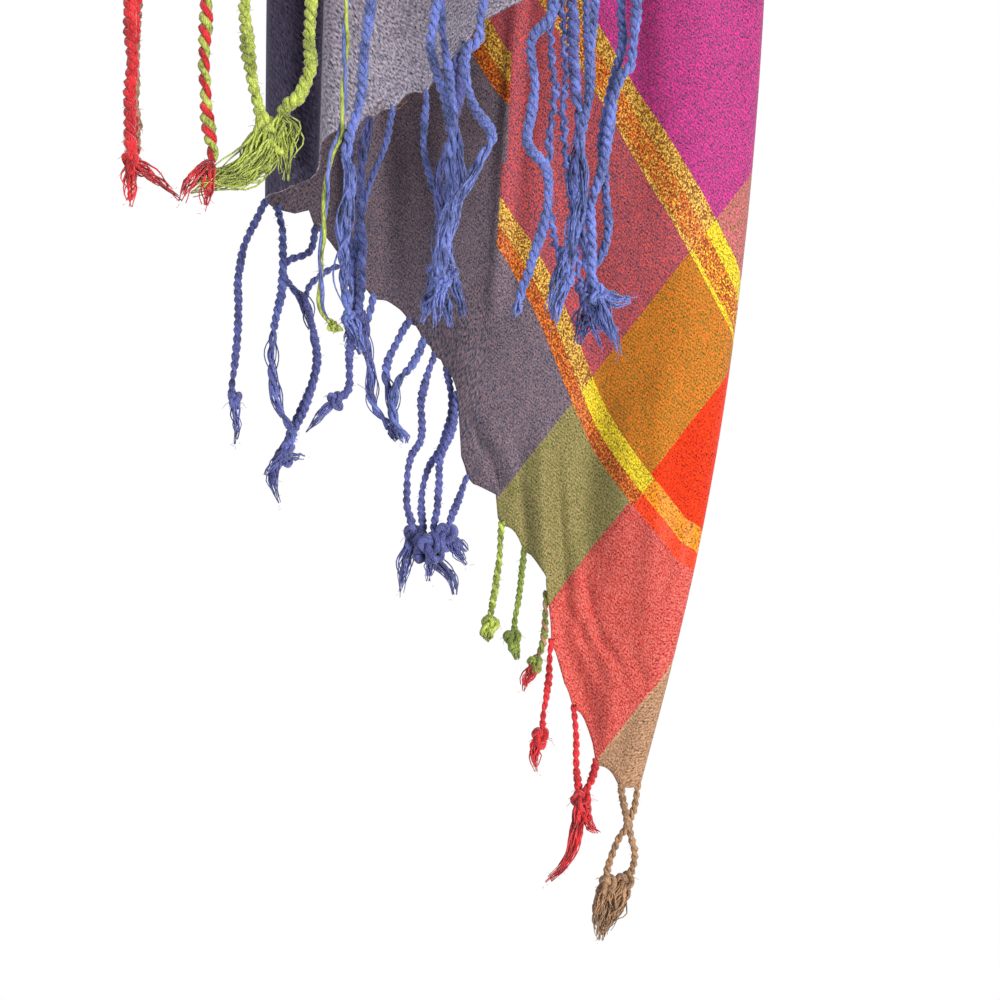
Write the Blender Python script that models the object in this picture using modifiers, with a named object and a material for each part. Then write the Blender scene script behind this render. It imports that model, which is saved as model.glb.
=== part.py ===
"""A fringed scarf held up at one point of a long edge, both ends falling in a cascade of folds.

Metres, +Z up, the held point at the origin. Layers run from the front selvedge to the back one.
"""

import math

import bmesh
import bpy
from mathutils import Vector

MM = 0.001

# The cloth
WALL = 1.2 * MM
SEAM = 0.8 * MM  # between stretches of the cloth
NECK_DROP = 45 * MM  # the folds leave the gathered top here
NECK_HALF_WIDTH = 12 * MM
NECK_PITCH = 2.2 * MM  # from one layer to the next at the neck
DEPTH_DROP = 1180 * MM  # the depths in the fold table hold at this drop
TURN_REACH = 0.9  # of half the depth between a fold's two layers
TURN_REACH_MOST = 12 * MM

# Flutes: height, turns and phase of each, for a layer's half width
WAVE_DEPTH = 10 * MM
WAVE_HALF_WIDTH = 100 * MM
WAVE_SPREAD = 0.9
WAVES = ((1.0, 4.1, 0.7), (0.35, 9.3, 2.1))

# The left part of the front layers lies further back. It starts at a share of the flutes' half width.
STEP_DEPTH = 24 * MM
STEP_PLACE = -0.44
STEP_WIDTH = 0.03
STEP_BACK = 85 * MM
STEP_FADE = 70 * MM
LEAST_FAN = 0.01

# Folds from front to back: the side where each turns, where its foot meets the cloth's edge, how far
# it swells sideways on the way down, and the depth of the layer that follows it. Sizes in mm.
FOLDS = (
    dict(name="front selvedge", side=-1, x=-92, drop=1174, swell=-6, depth=-90),
    dict(name="front right", side=1, x=60, drop=1166, swell=14, depth=-55),
    dict(name="front left", side=-1, x=-66, drop=1220, swell=-8, depth=0),
    dict(name="long corner", side=1, x=65, drop=1430, swell=64, depth=15),
    dict(name="behind left", side=-1, x=-70, drop=1144, swell=-12, depth=25),
    dict(name="middle right 1", side=1, x=86, drop=986, swell=10, depth=33),
    dict(name="middle left 1", side=-1, x=-72, drop=866, swell=-8, depth=41),
    dict(name="middle right 2", side=1, x=76, drop=790, swell=8, depth=49),
    dict(name="middle left 2", side=-1, x=-66, drop=766, swell=-8, depth=57),
    dict(name="middle right 3", side=1, x=72, drop=800, swell=8, depth=65),
    dict(name="middle left 3", side=-1, x=-78, drop=890, swell=-10, depth=74),
    dict(name="short corner", side=1, x=50, drop=1060, swell=26, depth=85),
    dict(name="back left", side=-1, x=-74, drop=915, swell=-8, depth=95),
    dict(name="back right", side=1, x=56, drop=797, swell=12, depth=105),
    dict(name="back selvedge", side=-1, x=-62, drop=690, swell=-6, depth=105),
)

# Hems that don't run straight from fold to fold: share of the layer's width from its first fold, and
# drop in mm.
HEMS = {
    1: (
        (0.0, 1166), (0.08, 1169), (0.19, 1173), (0.28, 1177), (0.38, 1181), (0.46, 1190), (0.54, 1198),
        (0.60, 1199), (0.69, 1205), (0.76, 1209), (0.80, 1211), (0.84, 1213), (0.90, 1216), (1.0, 1220),
    ),
    2: (
        (0.0, 1220), (0.045, 1231), (0.11, 1240), (0.157, 1252), (0.19, 1256), (0.225, 1260), (0.265, 1265),
        (0.314, 1274), (0.37, 1284), (0.42, 1317), (0.448, 1323), (0.508, 1329), (0.54, 1336),
        (0.587, 1344), (0.66, 1358), (0.69, 1370), (0.719, 1382), (0.771, 1396), (0.85, 1409),
        (0.918, 1423), (0.989, 1429), (1.0, 1430),
    ),
}
FRONT_LAYERS = (0, 3)
FRONT_SHARES = (0.0, 0.08, 0.16, 0.22, 0.27, 0.32, 0.37, 0.5, 0.62, 0.7, 0.76, 0.81, 0.86, 0.92, 1.0)
PLAIN_SHARES = (0.0, 0.17, 0.33, 0.5, 0.67, 0.83, 1.0)
TURN_STEPS = 5
ROW_SHARES = (0, 0.04, 0.1, 0.19, 0.29, 0.4, 0.51, 0.62, 0.72, 0.81, 0.89, 0.95, 1)

# Stretches of the one cloth: first and last fold
STRETCHES = (
    dict(name="long_tail_cloth", first=0, last=4),
    dict(name="middle_cloth", first=4, last=11),
    dict(name="short_tail_cloth", first=11, last=14),
)

# The folds between which the two fringed hems run
LONG_HEM = (0, 3)
SHORT_HEM = (11, 14)

# The gathered top: drop in mm, and its outline's share of the neck's
TOP_RINGS = (
    dict(drop=0.0, share=0.28),
    dict(drop=3.0, share=0.52),
    dict(drop=10.0, share=0.74),
    dict(drop=24.0, share=0.92),
    dict(drop=44.5, share=1.0),
)
TOP_SIDES = 44
TOP_FLUTES = 11
TOP_FLUTE_DEPTH = 0.09
TOP_SQUARENESS = 4
TOP_OVER_NECK = 1.05

# The fringe
STRIP_GAP = 1.4 * MM
GAP_STEPS = 2  # of the strip between two strands
STRIP_HEIGHT = 3 * MM
FLAT_STRIP = 0.1  # its thickness before it is laid along the hem
HEM_STEPS = 60  # for each layer
TURN_HEM_STEPS = 12
NEARBY = 1 * MM
ROOT_WIDTH = 3 * MM
ROOT_MARGIN = 4 * MM
UPPER_SHARES = (0.12, 0.5)  # of a strand's length down to its knot
KNOT_TOP = 4 * MM
KNOT_FOOT = 3.5 * MM
STRAND = 3.2 * MM
KNOT = 4.8 * MM
TIP = 1.2 * MM
SLOT = 5.0 * MM  # between the strands of one bunch
STAGGER = 8 * MM  # between the knots of neighbours in a bunch

# Bunches of knotted strands along the long tail's hem, from the front selvedge to the corner: the layer
# that they hang from, strands, where the bunch hangs, and the drops of its knots and frayed ends, in mm.
LONG_BUNCHES = (
    dict(layer=0, strands=3, x=-86, knot=1232, end=1248),
    dict(layer=0, strands=1, x=-67, knot=1236, end=1250),
    dict(layer=0, strands=2, x=-52, knot=1228, end=1246),
    dict(layer=0, strands=1, x=-30, knot=1270, end=1283),
    dict(layer=0, strands=1, x=-22, knot=1272, end=1289),
    dict(layer=0, strands=4, x=-4, knot=1252, end=1280),
    dict(layer=0, strands=5, x=40, knot=1254, end=1284),
    dict(layer=1, strands=3, x=38, knot=1262, end=1276),
    dict(layer=1, strands=3, x=12, knot=1254, end=1270),
    dict(layer=1, strands=4, x=-20, knot=1276, end=1290),
    dict(layer=2, strands=1, x=-80, knot=1297, end=1309),
    dict(layer=2, strands=3, x=-62, knot=1316, end=1332),
    dict(layer=2, strands=1, x=-46, knot=1290, end=1301),
    dict(layer=2, strands=2, x=-24, knot=1294, end=1306),
    dict(layer=2, strands=4, x=-9, knot=1342, end=1362),
    dict(layer=2, strands=1, x=10, knot=1370, end=1379),
    dict(layer=2, strands=1, x=18, knot=1376, end=1385),
    dict(layer=2, strands=1, x=25, knot=1389, end=1399),
    dict(layer=2, strands=1, x=31, knot=1414, end=1428),
    dict(layer=2, strands=2, x=41, knot=1444, end=1464),
    dict(layer=2, strands=2, x=55, knot=1468, end=1486),
)
SHORT_STRANDS = 46
SHORT_DROP = 84 * MM
SHORT_TAIL = 13 * MM
SHORT_UNEVEN = dict(length=5 * MM, turn=2.3)
SHORT_SWAY = dict(length=2 * MM, turn=1.7)

# Colours as linear RGB, roughness
FINISHES = dict(
    long_tail_cloth=((0.50, 0.20, 0.22), 0.75),
    middle_cloth=((0.42, 0.14, 0.25), 0.75),
    short_tail_cloth=((0.48, 0.22, 0.10), 0.75),
    gathered_top=((0.40, 0.12, 0.20), 0.75),
    long_tail_fringe=((0.10, 0.12, 0.38), 0.6),
    short_tail_fringe=((0.12, 0.14, 0.40), 0.6),
)


def clear_scene():
    for obj in list(bpy.data.objects):
        bpy.data.objects.remove(obj)


def blend(a, b, share):
    return a + (b - a) * share


def fold_side(fold, drop):
    """How far to the right the fold's outermost line lies at this drop."""
    span = min((drop - NECK_DROP) / (fold["drop"] * MM - NECK_DROP), 1.0)
    line = blend(fold["side"] * NECK_HALF_WIDTH, fold["x"] * MM, span)
    return line + fold["swell"] * MM * math.sin(math.pi * span * span)


def layer_depth(layer, drop):
    """Layers lie side by side at the neck and fan out downwards. The last fold has no layer of its own."""
    layer = max(0, min(layer, len(FOLDS) - 2))
    at_neck = (layer - (len(FOLDS) - 2) / 2) * NECK_PITCH
    return blend(at_neck, FOLDS[layer]["depth"] * MM, (drop - NECK_DROP) / (DEPTH_DROP - NECK_DROP))


def wave(x, depth, drop):
    """Flutes that every layer shares, so that they nest, and the step back at the front layers' left."""
    fan = (drop - NECK_DROP) / (DEPTH_DROP - NECK_DROP)
    across = x / blend(NECK_HALF_WIDTH, WAVE_HALF_WIDTH, max(fan, 0) ** WAVE_SPREAD)
    flutes = sum(height * math.cos(turns * across + phase) for height, turns, phase in WAVES)
    step = STEP_DEPTH / (1 + math.exp((across - STEP_PLACE) / STEP_WIDTH))
    front = min(max((STEP_BACK - depth / max(fan, LEAST_FAN)) / STEP_FADE, 0), 1)
    return fan * (WAVE_DEPTH * flutes + step * front)


def placed(x, depth, drop):
    return Vector((x, depth + wave(x, depth, drop), -drop))


def turn_radii(fold, drop):
    """The half depth and the reach of the round turn between the fold's two layers."""
    half = (layer_depth(fold, drop) - layer_depth(fold - 1, drop)) / 2
    return half, min(TURN_REACH * half, TURN_REACH_MOST)


def run_end(fold, drop):
    """Where a layer's flat run starts or ends, beside the fold's turn."""
    free = fold in (0, len(FOLDS) - 1)
    reach = 0 if free else turn_radii(fold, drop)[1]
    return fold_side(FOLDS[fold], drop) - FOLDS[fold]["side"] * reach


def on_layer(layer, share, drop):
    x = blend(run_end(layer, drop), run_end(layer + 1, drop), share)
    return placed(x, layer_depth(layer, drop), drop)


def on_turn(fold, angle, drop, slip=0.0):
    """A point round a fold's turn, from -90 degrees at the front layer to 90 at the back one."""
    half, reach = turn_radii(fold, drop)
    middle = layer_depth(fold - 1, drop) + half
    x = run_end(fold, drop) + FOLDS[fold]["side"] * reach * math.cos(angle)
    return placed(x, middle + half * math.sin(angle) + slip, drop)


def hem_drop(layer, share):
    """The drop of the cloth's free edge."""
    straight = ((0.0, FOLDS[layer]["drop"]), (1.0, FOLDS[layer + 1]["drop"]))
    table = HEMS.get(layer, straight)
    for (low, low_drop), (high, high_drop) in zip(table, table[1:]):
        if share <= high:
            return blend(low_drop, high_drop, (share - low) / (high - low)) * MM
    return table[-1][1] * MM


def shares_of(layer):
    """Where the lines down a layer lie, close together at the step and at the corners of its hem."""
    if layer in HEMS:
        return [share for share, _ in HEMS[layer]]
    return FRONT_SHARES if layer in FRONT_LAYERS else PLAIN_SHARES


def columns_of(first, last):
    """One function of the drop for each line down the cloth, with that line's hem drop."""
    lines = []
    if first > 0:
        lines += turn_lines(first, 0, math.pi / 2, SEAM / 2)
    for layer in range(first, last):
        for share in shares_of(layer):
            lines.append((lambda drop, k=layer, s=share: on_layer(k, s, drop), hem_drop(layer, share)))
        if layer + 1 < last:
            lines += turn_lines(layer + 1, -math.pi / 2, math.pi / 2, 0)
    if last < len(FOLDS) - 1:
        lines += turn_lines(last, -math.pi / 2, 0, -SEAM / 2)
    return lines


def turn_lines(fold, start, end, slip):
    """Lines round a turn. Half a turn keeps its seam end, moved off the seam, and drops the other."""
    steps = TURN_STEPS if slip == 0 else TURN_STEPS // 2 + 1
    angles = [blend(start, end, k / steps) for k in range(steps + 1)]
    angles = angles[1:-1] if slip == 0 else angles[:-1] if slip > 0 else angles[1:]
    foot = FOLDS[fold]["drop"] * MM
    return [
        (lambda drop, a=angle: on_turn(fold, a, drop, slip if a == 0 else 0), foot)
        for angle in angles
    ]


def add_object(name, mesh):
    obj = bpy.data.objects.new(name, mesh)
    scarf.objects.link(obj)
    colour, roughness = FINISHES[name]
    material = bpy.data.materials.new(name + "_finish")
    material.use_nodes = True
    shader = material.node_tree.nodes["Principled BSDF"]
    shader.inputs["Base Color"].default_value = (*colour, 1)
    shader.inputs["Roughness"].default_value = roughness
    material.diffuse_color = (*colour, 1)
    mesh.materials.append(material)
    return obj


def mesh_from(shape, name):
    mesh = bpy.data.meshes.new(name)
    shape.to_mesh(mesh)
    shape.free()
    mesh.shade_smooth()
    return mesh


def make_cloth(name, first, last):
    """An open grid laid on the folds, given its wall by Solidify."""
    lines = columns_of(first, last)
    rows = len(ROW_SHARES)
    shape = bmesh.new()
    bmesh.ops.create_grid(shape, x_segments=len(lines) - 1, y_segments=rows - 1, size=0.5)
    for vert in shape.verts:
        point, hem = lines[round((vert.co.x + 0.5) * (len(lines) - 1))]
        share = ROW_SHARES[round((0.5 - vert.co.y) * (rows - 1))]
        vert.co = point(blend(NECK_DROP, hem, share))
    cloth = add_object(name, mesh_from(shape, name))
    wall = cloth.modifiers.new("Wall", "SOLIDIFY")
    wall.thickness = WALL
    wall.offset = 0


def make_top():
    """The cloth gathered at the held point: fluted rings, widening to the neck."""
    half_depth = layer_depth(len(FOLDS) - 2, NECK_DROP) + WALL
    shape = bmesh.new()
    bmesh.ops.create_circle(shape, cap_ends=True, segments=TOP_SIDES, radius=1)
    directions = []
    for vert in shape.verts:
        angle = math.atan2(vert.co.y, vert.co.x)
        flute = 1 - TOP_FLUTE_DEPTH * (0.5 + 0.5 * math.cos(TOP_FLUTES * angle))
        sides = abs(math.cos(angle)) ** TOP_SQUARENESS + abs(math.sin(angle)) ** TOP_SQUARENESS
        square = sides ** (-1 / TOP_SQUARENESS)
        directions.append(Vector((math.cos(angle) * square * flute, math.sin(angle) * square * flute, 0)))
    ring = list(shape.verts)
    shape.faces.ensure_lookup_table()
    face = shape.faces[0]
    for index, row in enumerate(TOP_RINGS):
        if index:
            grown = bmesh.ops.extrude_face_region(shape, geom=[face])
            if index > 1:
                bmesh.ops.delete(shape, geom=[face], context="FACES_ONLY")
            face = next(item for item in grown["geom"] if isinstance(item, bmesh.types.BMFace))
            copies = [item for item in grown["geom"] if isinstance(item, bmesh.types.BMVert)]
            ring = [min(copies, key=lambda copy, v=vert: (copy.co - v.co).length) for vert in ring]
        for vert, direction in zip(ring, directions):
            vert.co.x = direction.x * NECK_HALF_WIDTH * TOP_OVER_NECK * row["share"]
            vert.co.y = direction.y * half_depth * row["share"]
            vert.co.z = -row["drop"] * MM
    bmesh.ops.recalc_face_normals(shape, faces=shape.faces)
    add_object("gathered_top", mesh_from(shape, "gathered_top"))


def hem_line(first, last):
    """The free edge as a dense line of points, each with its layer."""
    line = []
    for layer in range(first, last):
        for step in range(HEM_STEPS + 1):
            share = step / HEM_STEPS
            line.append((layer, on_layer(layer, share, hem_drop(layer, share))))
        if layer + 1 < last:
            foot = FOLDS[layer + 1]["drop"] * MM
            for step in range(1, TURN_HEM_STEPS):
                angle = blend(-math.pi / 2, math.pi / 2, step / TURN_HEM_STEPS)
                own = layer if angle < 0 else layer + 1
                line.append((own, on_turn(layer + 1, angle, foot)))
    return line


class Edge:
    """A line measured along its length."""

    def __init__(self, line):
        self.line = line
        self.along = [0.0]
        for (_, a), (_, b) in zip(line, line[1:]):
            self.along.append(self.along[-1] + (b - a).length)
        self.length = self.along[-1]

    def at(self, distance):
        distance = max(0.0, min(distance, self.length))
        index = next(k for k in range(1, len(self.along)) if self.along[k] >= distance)
        low, high = self.along[index - 1], self.along[index]
        share = (distance - low) / (high - low) if high > low else 0.0
        return self.line[index][0], self.line[index - 1][1].lerp(self.line[index][1], share)

    def span_of(self, layer):
        inside = [distance for (own, _), distance in zip(self.line, self.along) if own == layer]
        return inside[0], inside[-1]

    def frame_at(self, distance):
        """The point there, the way through the cloth, and the way out of it past the edge."""
        along = (self.at(distance + NEARBY)[1] - self.at(distance - NEARBY)[1]).normalized()
        across = Vector((-along.y, along.x, 0)).normalized()
        outward = across.cross(along)
        return self.at(distance)[1], across, outward if outward.z < 0 else -outward


def spread_roots(start, end, count):
    step = (end - start - 2 * ROOT_MARGIN) / (count - 1)
    return [start + ROOT_MARGIN + step * k for k in range(count)]


def long_strands(layer):
    """For each plumb strand of a layer: its foot's x, knot drop and end drop, staggered in its bunch."""
    strands = []
    for bunch in LONG_BUNCHES:
        if bunch["layer"] != layer:
            continue
        count = bunch["strands"]
        for k in range(count):
            x = bunch["x"] * MM - FOLDS[layer]["side"] * (k - (count - 1) / 2) * SLOT
            stagger = (k % 2) * STAGGER if count > 1 else 0
            strands.append((x, bunch["knot"] * MM - stagger, bunch["end"] * MM - stagger, None))
    return strands


def squared(centre, width, along, across):
    """Four corners round a centre, in the order of a root's face."""
    along, across = along * width / 2, across * width / 2
    return [centre - along - across, centre + along - across, centre + along + across, centre - along + across]


def grow_strand(shape, face, rings):
    """Pulls a strand out of the strip's underside through rings of four corners."""
    for ring in rings:
        grown = bmesh.ops.extrude_face_region(shape, geom=[face])
        bmesh.ops.delete(shape, geom=[face], context="FACES_ONLY")
        face = next(item for item in grown["geom"] if isinstance(item, bmesh.types.BMFace))
        shift = sum(ring, Vector()) / len(ring) - face.calc_center_median()
        spare = list(ring)
        for corner in face.verts:
            nearest = min(spare, key=lambda spot, place=corner.co + shift: (spot - place).length)
            spare.remove(nearest)
            corner.co = nearest


def make_fringe(name, edge, roots, strands):
    """A strip that follows the hem just below it, with a strand pulled out of it at each root."""
    stations = []
    for root in roots:
        start = root - ROOT_WIDTH / 2
        if stations:
            last = stations[-1]
            stations += [blend(last, start, k / GAP_STEPS) for k in range(1, GAP_STEPS)]
        stations += [start, root + ROOT_WIDTH / 2]
    shape = bmesh.new()
    bmesh.ops.create_grid(shape, x_segments=len(stations) - 1, y_segments=1, size=0.5)
    bmesh.ops.solidify(shape, geom=shape.faces[:], thickness=FLAT_STRIP)
    for vert in shape.verts:
        index = round((vert.co.x + 0.5) * (len(stations) - 1))
        point, across, outward = edge.frame_at(stations[index])
        low = STRIP_HEIGHT if vert.co.y < 0 else 0
        side = 0.5 if vert.co.z < -FLAT_STRIP / 2 else -0.5
        vert.co = point + across * side * WALL + outward * (STRIP_GAP + low)
    for root, (x, knot, end, layer) in zip(roots, strands):
        point, _, outward = edge.frame_at(root)
        point = point + outward * (STRIP_GAP + STRIP_HEIGHT)
        face = min(shape.faces, key=lambda f: (f.calc_center_median() - point).length)
        grow_strand(shape, face, strand_rings(point, x, knot, end, layer))
    bmesh.ops.recalc_face_normals(shape, faces=shape.faces)
    add_object(name, mesh_from(shape, name))


def strand_rings(root, x, knot, end, layer):
    """A strand falls from its root to its place in the bunch, plumb or on a sloping layer, then a knot
    and a frayed end."""
    top = -root.z
    along, across = Vector((1, 0, 0)), Vector((0, 1, 0))
    rows = [(blend(top, knot, share), STRAND) for share in UPPER_SHARES]
    rows += [(knot - KNOT_TOP, STRAND), (knot, KNOT), (knot + KNOT_FOOT, STRAND), (end, TIP)]
    rings = []
    for drop, width in rows:
        share = min((drop - top) / (knot - top), 1.0)
        eased = share * share * (3 - 2 * share)
        across_x = blend(root.x, x, eased)
        on_cloth = layer is not None
        depth = placed(across_x, layer_depth(layer, drop), drop).y if on_cloth else root.y
        centre = Vector((across_x, depth, -drop))
        rings.append(squared(centre, width, along, across))
    return rings


def make_long_fringe():
    edge = Edge(hem_line(*LONG_HEM))
    roots, strands = [], []
    for layer in range(*LONG_HEM):
        hung = long_strands(layer)
        roots += spread_roots(*edge.span_of(layer), len(hung))
        strands += hung
    make_fringe("long_tail_fringe", edge, roots, strands)


def make_short_fringe():
    """The short tail's strands lie on its sloping layers and hang in even lengths."""
    edge = Edge(hem_line(*SHORT_HEM))
    roots = spread_roots(0, edge.length, SHORT_STRANDS)
    strands = []
    for index, root in enumerate(roots):
        layer, point = edge.at(root)
        uneven = SHORT_UNEVEN["length"] * math.sin(SHORT_UNEVEN["turn"] * index)
        sway = SHORT_SWAY["length"] * math.sin(SHORT_SWAY["turn"] * index)
        knot = -point.z + SHORT_DROP - SHORT_TAIL + uneven
        strands.append((point.x + sway, knot, knot + SHORT_TAIL, layer))
    make_fringe("short_tail_fringe", edge, roots, strands)


clear_scene()
scarf = bpy.data.collections.new("fringed_scarf")
bpy.context.scene.collection.children.link(scarf)
for stretch in STRETCHES:
    make_cloth(**stretch)
make_top()
make_long_fringe()
make_short_fringe()
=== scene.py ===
import math
import random

import bmesh
import bpy
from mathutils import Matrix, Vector, noise


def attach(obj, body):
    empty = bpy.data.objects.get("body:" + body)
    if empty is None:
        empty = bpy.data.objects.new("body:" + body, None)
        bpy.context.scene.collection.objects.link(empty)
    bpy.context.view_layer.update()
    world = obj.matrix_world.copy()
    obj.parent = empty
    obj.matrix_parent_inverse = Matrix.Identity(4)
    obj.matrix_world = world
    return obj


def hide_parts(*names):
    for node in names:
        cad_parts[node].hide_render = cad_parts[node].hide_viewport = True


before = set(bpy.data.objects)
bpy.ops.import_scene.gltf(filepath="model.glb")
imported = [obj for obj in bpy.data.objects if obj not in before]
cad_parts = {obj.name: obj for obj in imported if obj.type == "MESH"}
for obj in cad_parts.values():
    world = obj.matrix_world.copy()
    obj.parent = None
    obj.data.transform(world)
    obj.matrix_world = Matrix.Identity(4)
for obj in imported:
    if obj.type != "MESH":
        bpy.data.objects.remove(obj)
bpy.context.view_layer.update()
mm = 0.001

# The camera stands in front of the lowest corner. The plane of the hanging cloth is y = 0.
view = dict(x=14.4 * mm, drop=1327.8 * mm, distance=400 * mm, lens=40, sensor=36)


def makeCamera():
    data = bpy.data.cameras.new("camera")
    data.lens = view["lens"]
    data.sensor_width = view["sensor"]
    data.clip_start = 0.01
    camera = bpy.data.objects.new("camera", data)
    camera.location = (view["x"], -view["distance"], -view["drop"])
    camera.rotation_euler = (math.radians(90), 0, 0)
    bpy.context.scene.collection.objects.link(camera)
    bpy.context.scene.camera = camera


def seen(point):
    # where the camera sees a point on the plane y = 0, as x and drop
    scale = view["distance"] / (view["distance"] + point.y)
    return view["x"] + (point.x - view["x"]) * scale, view["drop"] + (-point.z - view["drop"]) * scale


def behind(x, drop, depth):
    # the point at this depth that the camera sees at x and drop on the plane y = 0
    scale = (view["distance"] + depth) / view["distance"]
    seenX, seenDrop = x - view["x"], drop - view["drop"]
    return Vector((view["x"] + seenX * scale, depth, -view["drop"] - seenDrop * scale))


def makePiece(name, shape, materials):
    # an object at the origin from a bmesh
    mesh = bpy.data.meshes.new(name)
    shape.to_mesh(mesh)
    shape.free()
    for material in materials:
        mesh.materials.append(material)
    piece = bpy.data.objects.new(name, mesh)
    bpy.context.scene.collection.objects.link(piece)
    return piece


def standFor(piece, node):
    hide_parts(node)
    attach(piece, "root")
    return piece


def bothWays(operation):
    # an operator and its reflected form
    def forward(self, other):
        return self.maths(operation, self, other)

    def reflected(self, other):
        return self.maths(operation, other, self)

    return forward, reflected


def alone(operation):
    return lambda self: self.maths(operation, self)


class Wire:
    # a node's output, so that shader maths reads as Python
    def __init__(self, finish, socket):
        self.finish = finish
        self.socket = socket

    def maths(self, operation, *values, clamp=False):
        sockets = dict(enumerate(values))
        return self.finish.node("ShaderNodeMath", sockets, operation=operation, use_clamp=clamp)

    def clamped(self):
        return self.maths("ADD", self, 0.0, clamp=True)

    __add__, __radd__ = bothWays("ADD")
    __sub__, __rsub__ = bothWays("SUBTRACT")
    __mul__, __rmul__ = bothWays("MULTIPLY")
    __truediv__, __rtruediv__ = bothWays("DIVIDE")
    __mod__, __rmod__ = bothWays("FLOORED_MODULO")
    __lt__, __gt__ = bothWays("LESS_THAN")[0], bothWays("GREATER_THAN")[0]
    least, most = bothWays("MINIMUM")[0], bothWays("MAXIMUM")[0]
    floor, sine, cosine, size = alone("FLOOR"), alone("SINE"), alone("COSINE"), alone("ABSOLUTE")


class Finish:
    # one material, with one method for every kind of node
    def __init__(self, name, roughness=0.7, sheen=0.0, sheenTint=(1, 1, 1)):
        self.material = bpy.data.materials.new(name)
        self.material.use_nodes = True
        self.tree = self.material.node_tree
        self.shader = self.tree.nodes["Principled BSDF"]
        self.shader.inputs["Roughness"].default_value = roughness
        self.shader.inputs["Specular IOR Level"].default_value = 0.25
        self.shader.inputs["Sheen Weight"].default_value = sheen
        self.shader.inputs["Sheen Roughness"].default_value = 0.4
        self.shader.inputs["Sheen Tint"].default_value = (*sheenTint, 1)

    def node(self, kind, sockets=None, out=0, stops=None, **settings):
        node = self.tree.nodes.new(kind)
        for key, value in settings.items():
            setattr(node, key, value)
        if stops:
            self.fillRamp(node.color_ramp, stops)
        for key, value in (sockets or {}).items():
            if isinstance(value, Wire):
                self.tree.links.new(value.socket, node.inputs[key])
            else:
                node.inputs[key].default_value = value
        return Wire(self, node.outputs[out])

    def fillRamp(self, ramp, stops):
        ramp.interpolation = "CONSTANT"
        for spare in list(ramp.elements)[1:]:
            ramp.elements.remove(spare)
        for index, (place, colour) in enumerate(stops):
            element = ramp.elements[0] if index == 0 else ramp.elements.new(place)
            element.position = place
            element.color = (*colour, 1)

    def mix(self, factor, low, high, kind="MIX"):
        sockets = {0: factor, 6: self.coloured(low), 7: self.coloured(high)}
        return self.node("ShaderNodeMix", sockets, out=2, data_type="RGBA", blend_type=kind)

    def coloured(self, value):
        return value if isinstance(value, Wire) else (*value, 1)

    def grain(self, vector, scale, detail=2.0):
        sockets = {"Vector": vector, "Scale": scale, "Detail": detail}
        return self.node("ShaderNodeTexNoise", sockets)

    def place(self):
        return self.node("ShaderNodeTexCoord", out="Object")

    def paint(self, name, value):
        self.tree.links.new(value.socket, self.shader.inputs[name])

    def raise_(self, height, distance, strength=1.0):
        bump = self.node("ShaderNodeBump", {"Height": height, "Distance": distance, "Strength": strength})
        self.paint("Normal", bump)


# The cut cloth, laid flat: u across from the far selvedge, v along from the long tail's hem, in mm
cutCloth = dict(width=700, length=1800, holdU=700, holdV=1160)
warps = dict(
    tan=(0.705, 0.393, 0.157),
    red=(1.0, 0.018, 0.0),
    green=(0.307, 0.377, 0.032),
    blue=(0.075, 0.135, 0.235),
)
warpStripes = (
    ("tan", 0), ("red", 18), ("green", 69), ("blue", 112), ("green", 588), ("red", 631), ("tan", 682),
)
wefts = dict(beige=(0.301, 0.155, 0.132), orange=(0.814, 0.052, 0.0), magenta=(0.78, 0.0, 0.235))
check = dict(repeat=258, weftShare=0.53, denseWeft=0.09, exposure=0.80, redLift=0.2)
weave = dict(
    yarn=0.42, grain=2100, otherGrain=0.8, shareFleck=0.4, shareCloud=0.9,
    lightFleck=0.9, lightCloud=2.4, patches=45.0, lightPatch=0.16,
    rib=1.15, ribSlope=0.35, ribWander=5, ribLight=0.13,
    relief=0.2, fleckRelief=0.4, reliefStrength=0.6,
    roughness=0.82, bandSmoothness=0.3, sheen=0.22, sheenTint=(1.0, 0.93, 0.95),
)
# the two wavy bands of golden yarn, each where one weft colour gives way to the next
firstBand = dict(at=59.1, halfWidth=6.1, wave=3.6, waveLength=130, crest=92)
secondBand = dict(at=126.5, halfWidth=7.5, wave=1.0, waveLength=170, crest=60)
# how far across each band its bright yarns lie, and how much gold its flecks hold on each warp
bandLook = dict(
    fleck=0.5, firstBright=-0.12, secondBright=0.25, secondEdge=-0.8,
    gold=0.52, goldOnGreen=0.42, goldOnRed=0.3, goldBetween=0.22, orange=0.46, sharpness=3.5,
    red=0.82, redFade=0.66,
)
bandColours = dict(
    gold=(0.95, 0.56, 0.08),
    amber=(1.0, 0.36, 0.005),
    yellow=(0.90, 0.66, 0.02),
    orange=(0.90, 0.20, 0.02),
    rust=(0.36, 0.06, 0.01),
    brown=(0.34, 0.11, 0.02),
    red=(1.0, 0.035, 0.006),
)
reverseTint = dict(colour=(0.50, 0.47, 0.56), share=0.5, exposure=1.55)
# painted shade: a dark blue tint for the second layer's front left of the tuck, where the fold lies deep in
# shade
paintedShadeTint = dict(colour=(0.03, 0.045, 0.15), share=0.5, exposure=0.8)


def bandPlace(u, along, band):
    # how far across the band a point lies, from -1 at its lower edge to 1 at its upper one
    turn = ((u - band["crest"]) * (2 * math.pi / band["waveLength"])).cosine()
    return (along - band["at"] + turn * band["wave"]) / band["halfWidth"]


def onStripe(u, key):
    # whether a point lies on the first stripe of this warp
    index = [name for name, _ in warpStripes].index(key)
    start, end = warpStripes[index][1], warpStripes[index + 1][1]
    return (u - (start + end) / 2).size() < (end - start) / 2


def flecks(finish, u, v, size, seed):
    cell = finish.node("ShaderNodeCombineXYZ", {0: (u / size).floor(), 1: (v / size).floor(), 2: seed})
    return finish.node("ShaderNodeTexWhiteNoise", {"Vector": cell}, noise_dimensions="3D")


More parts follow.
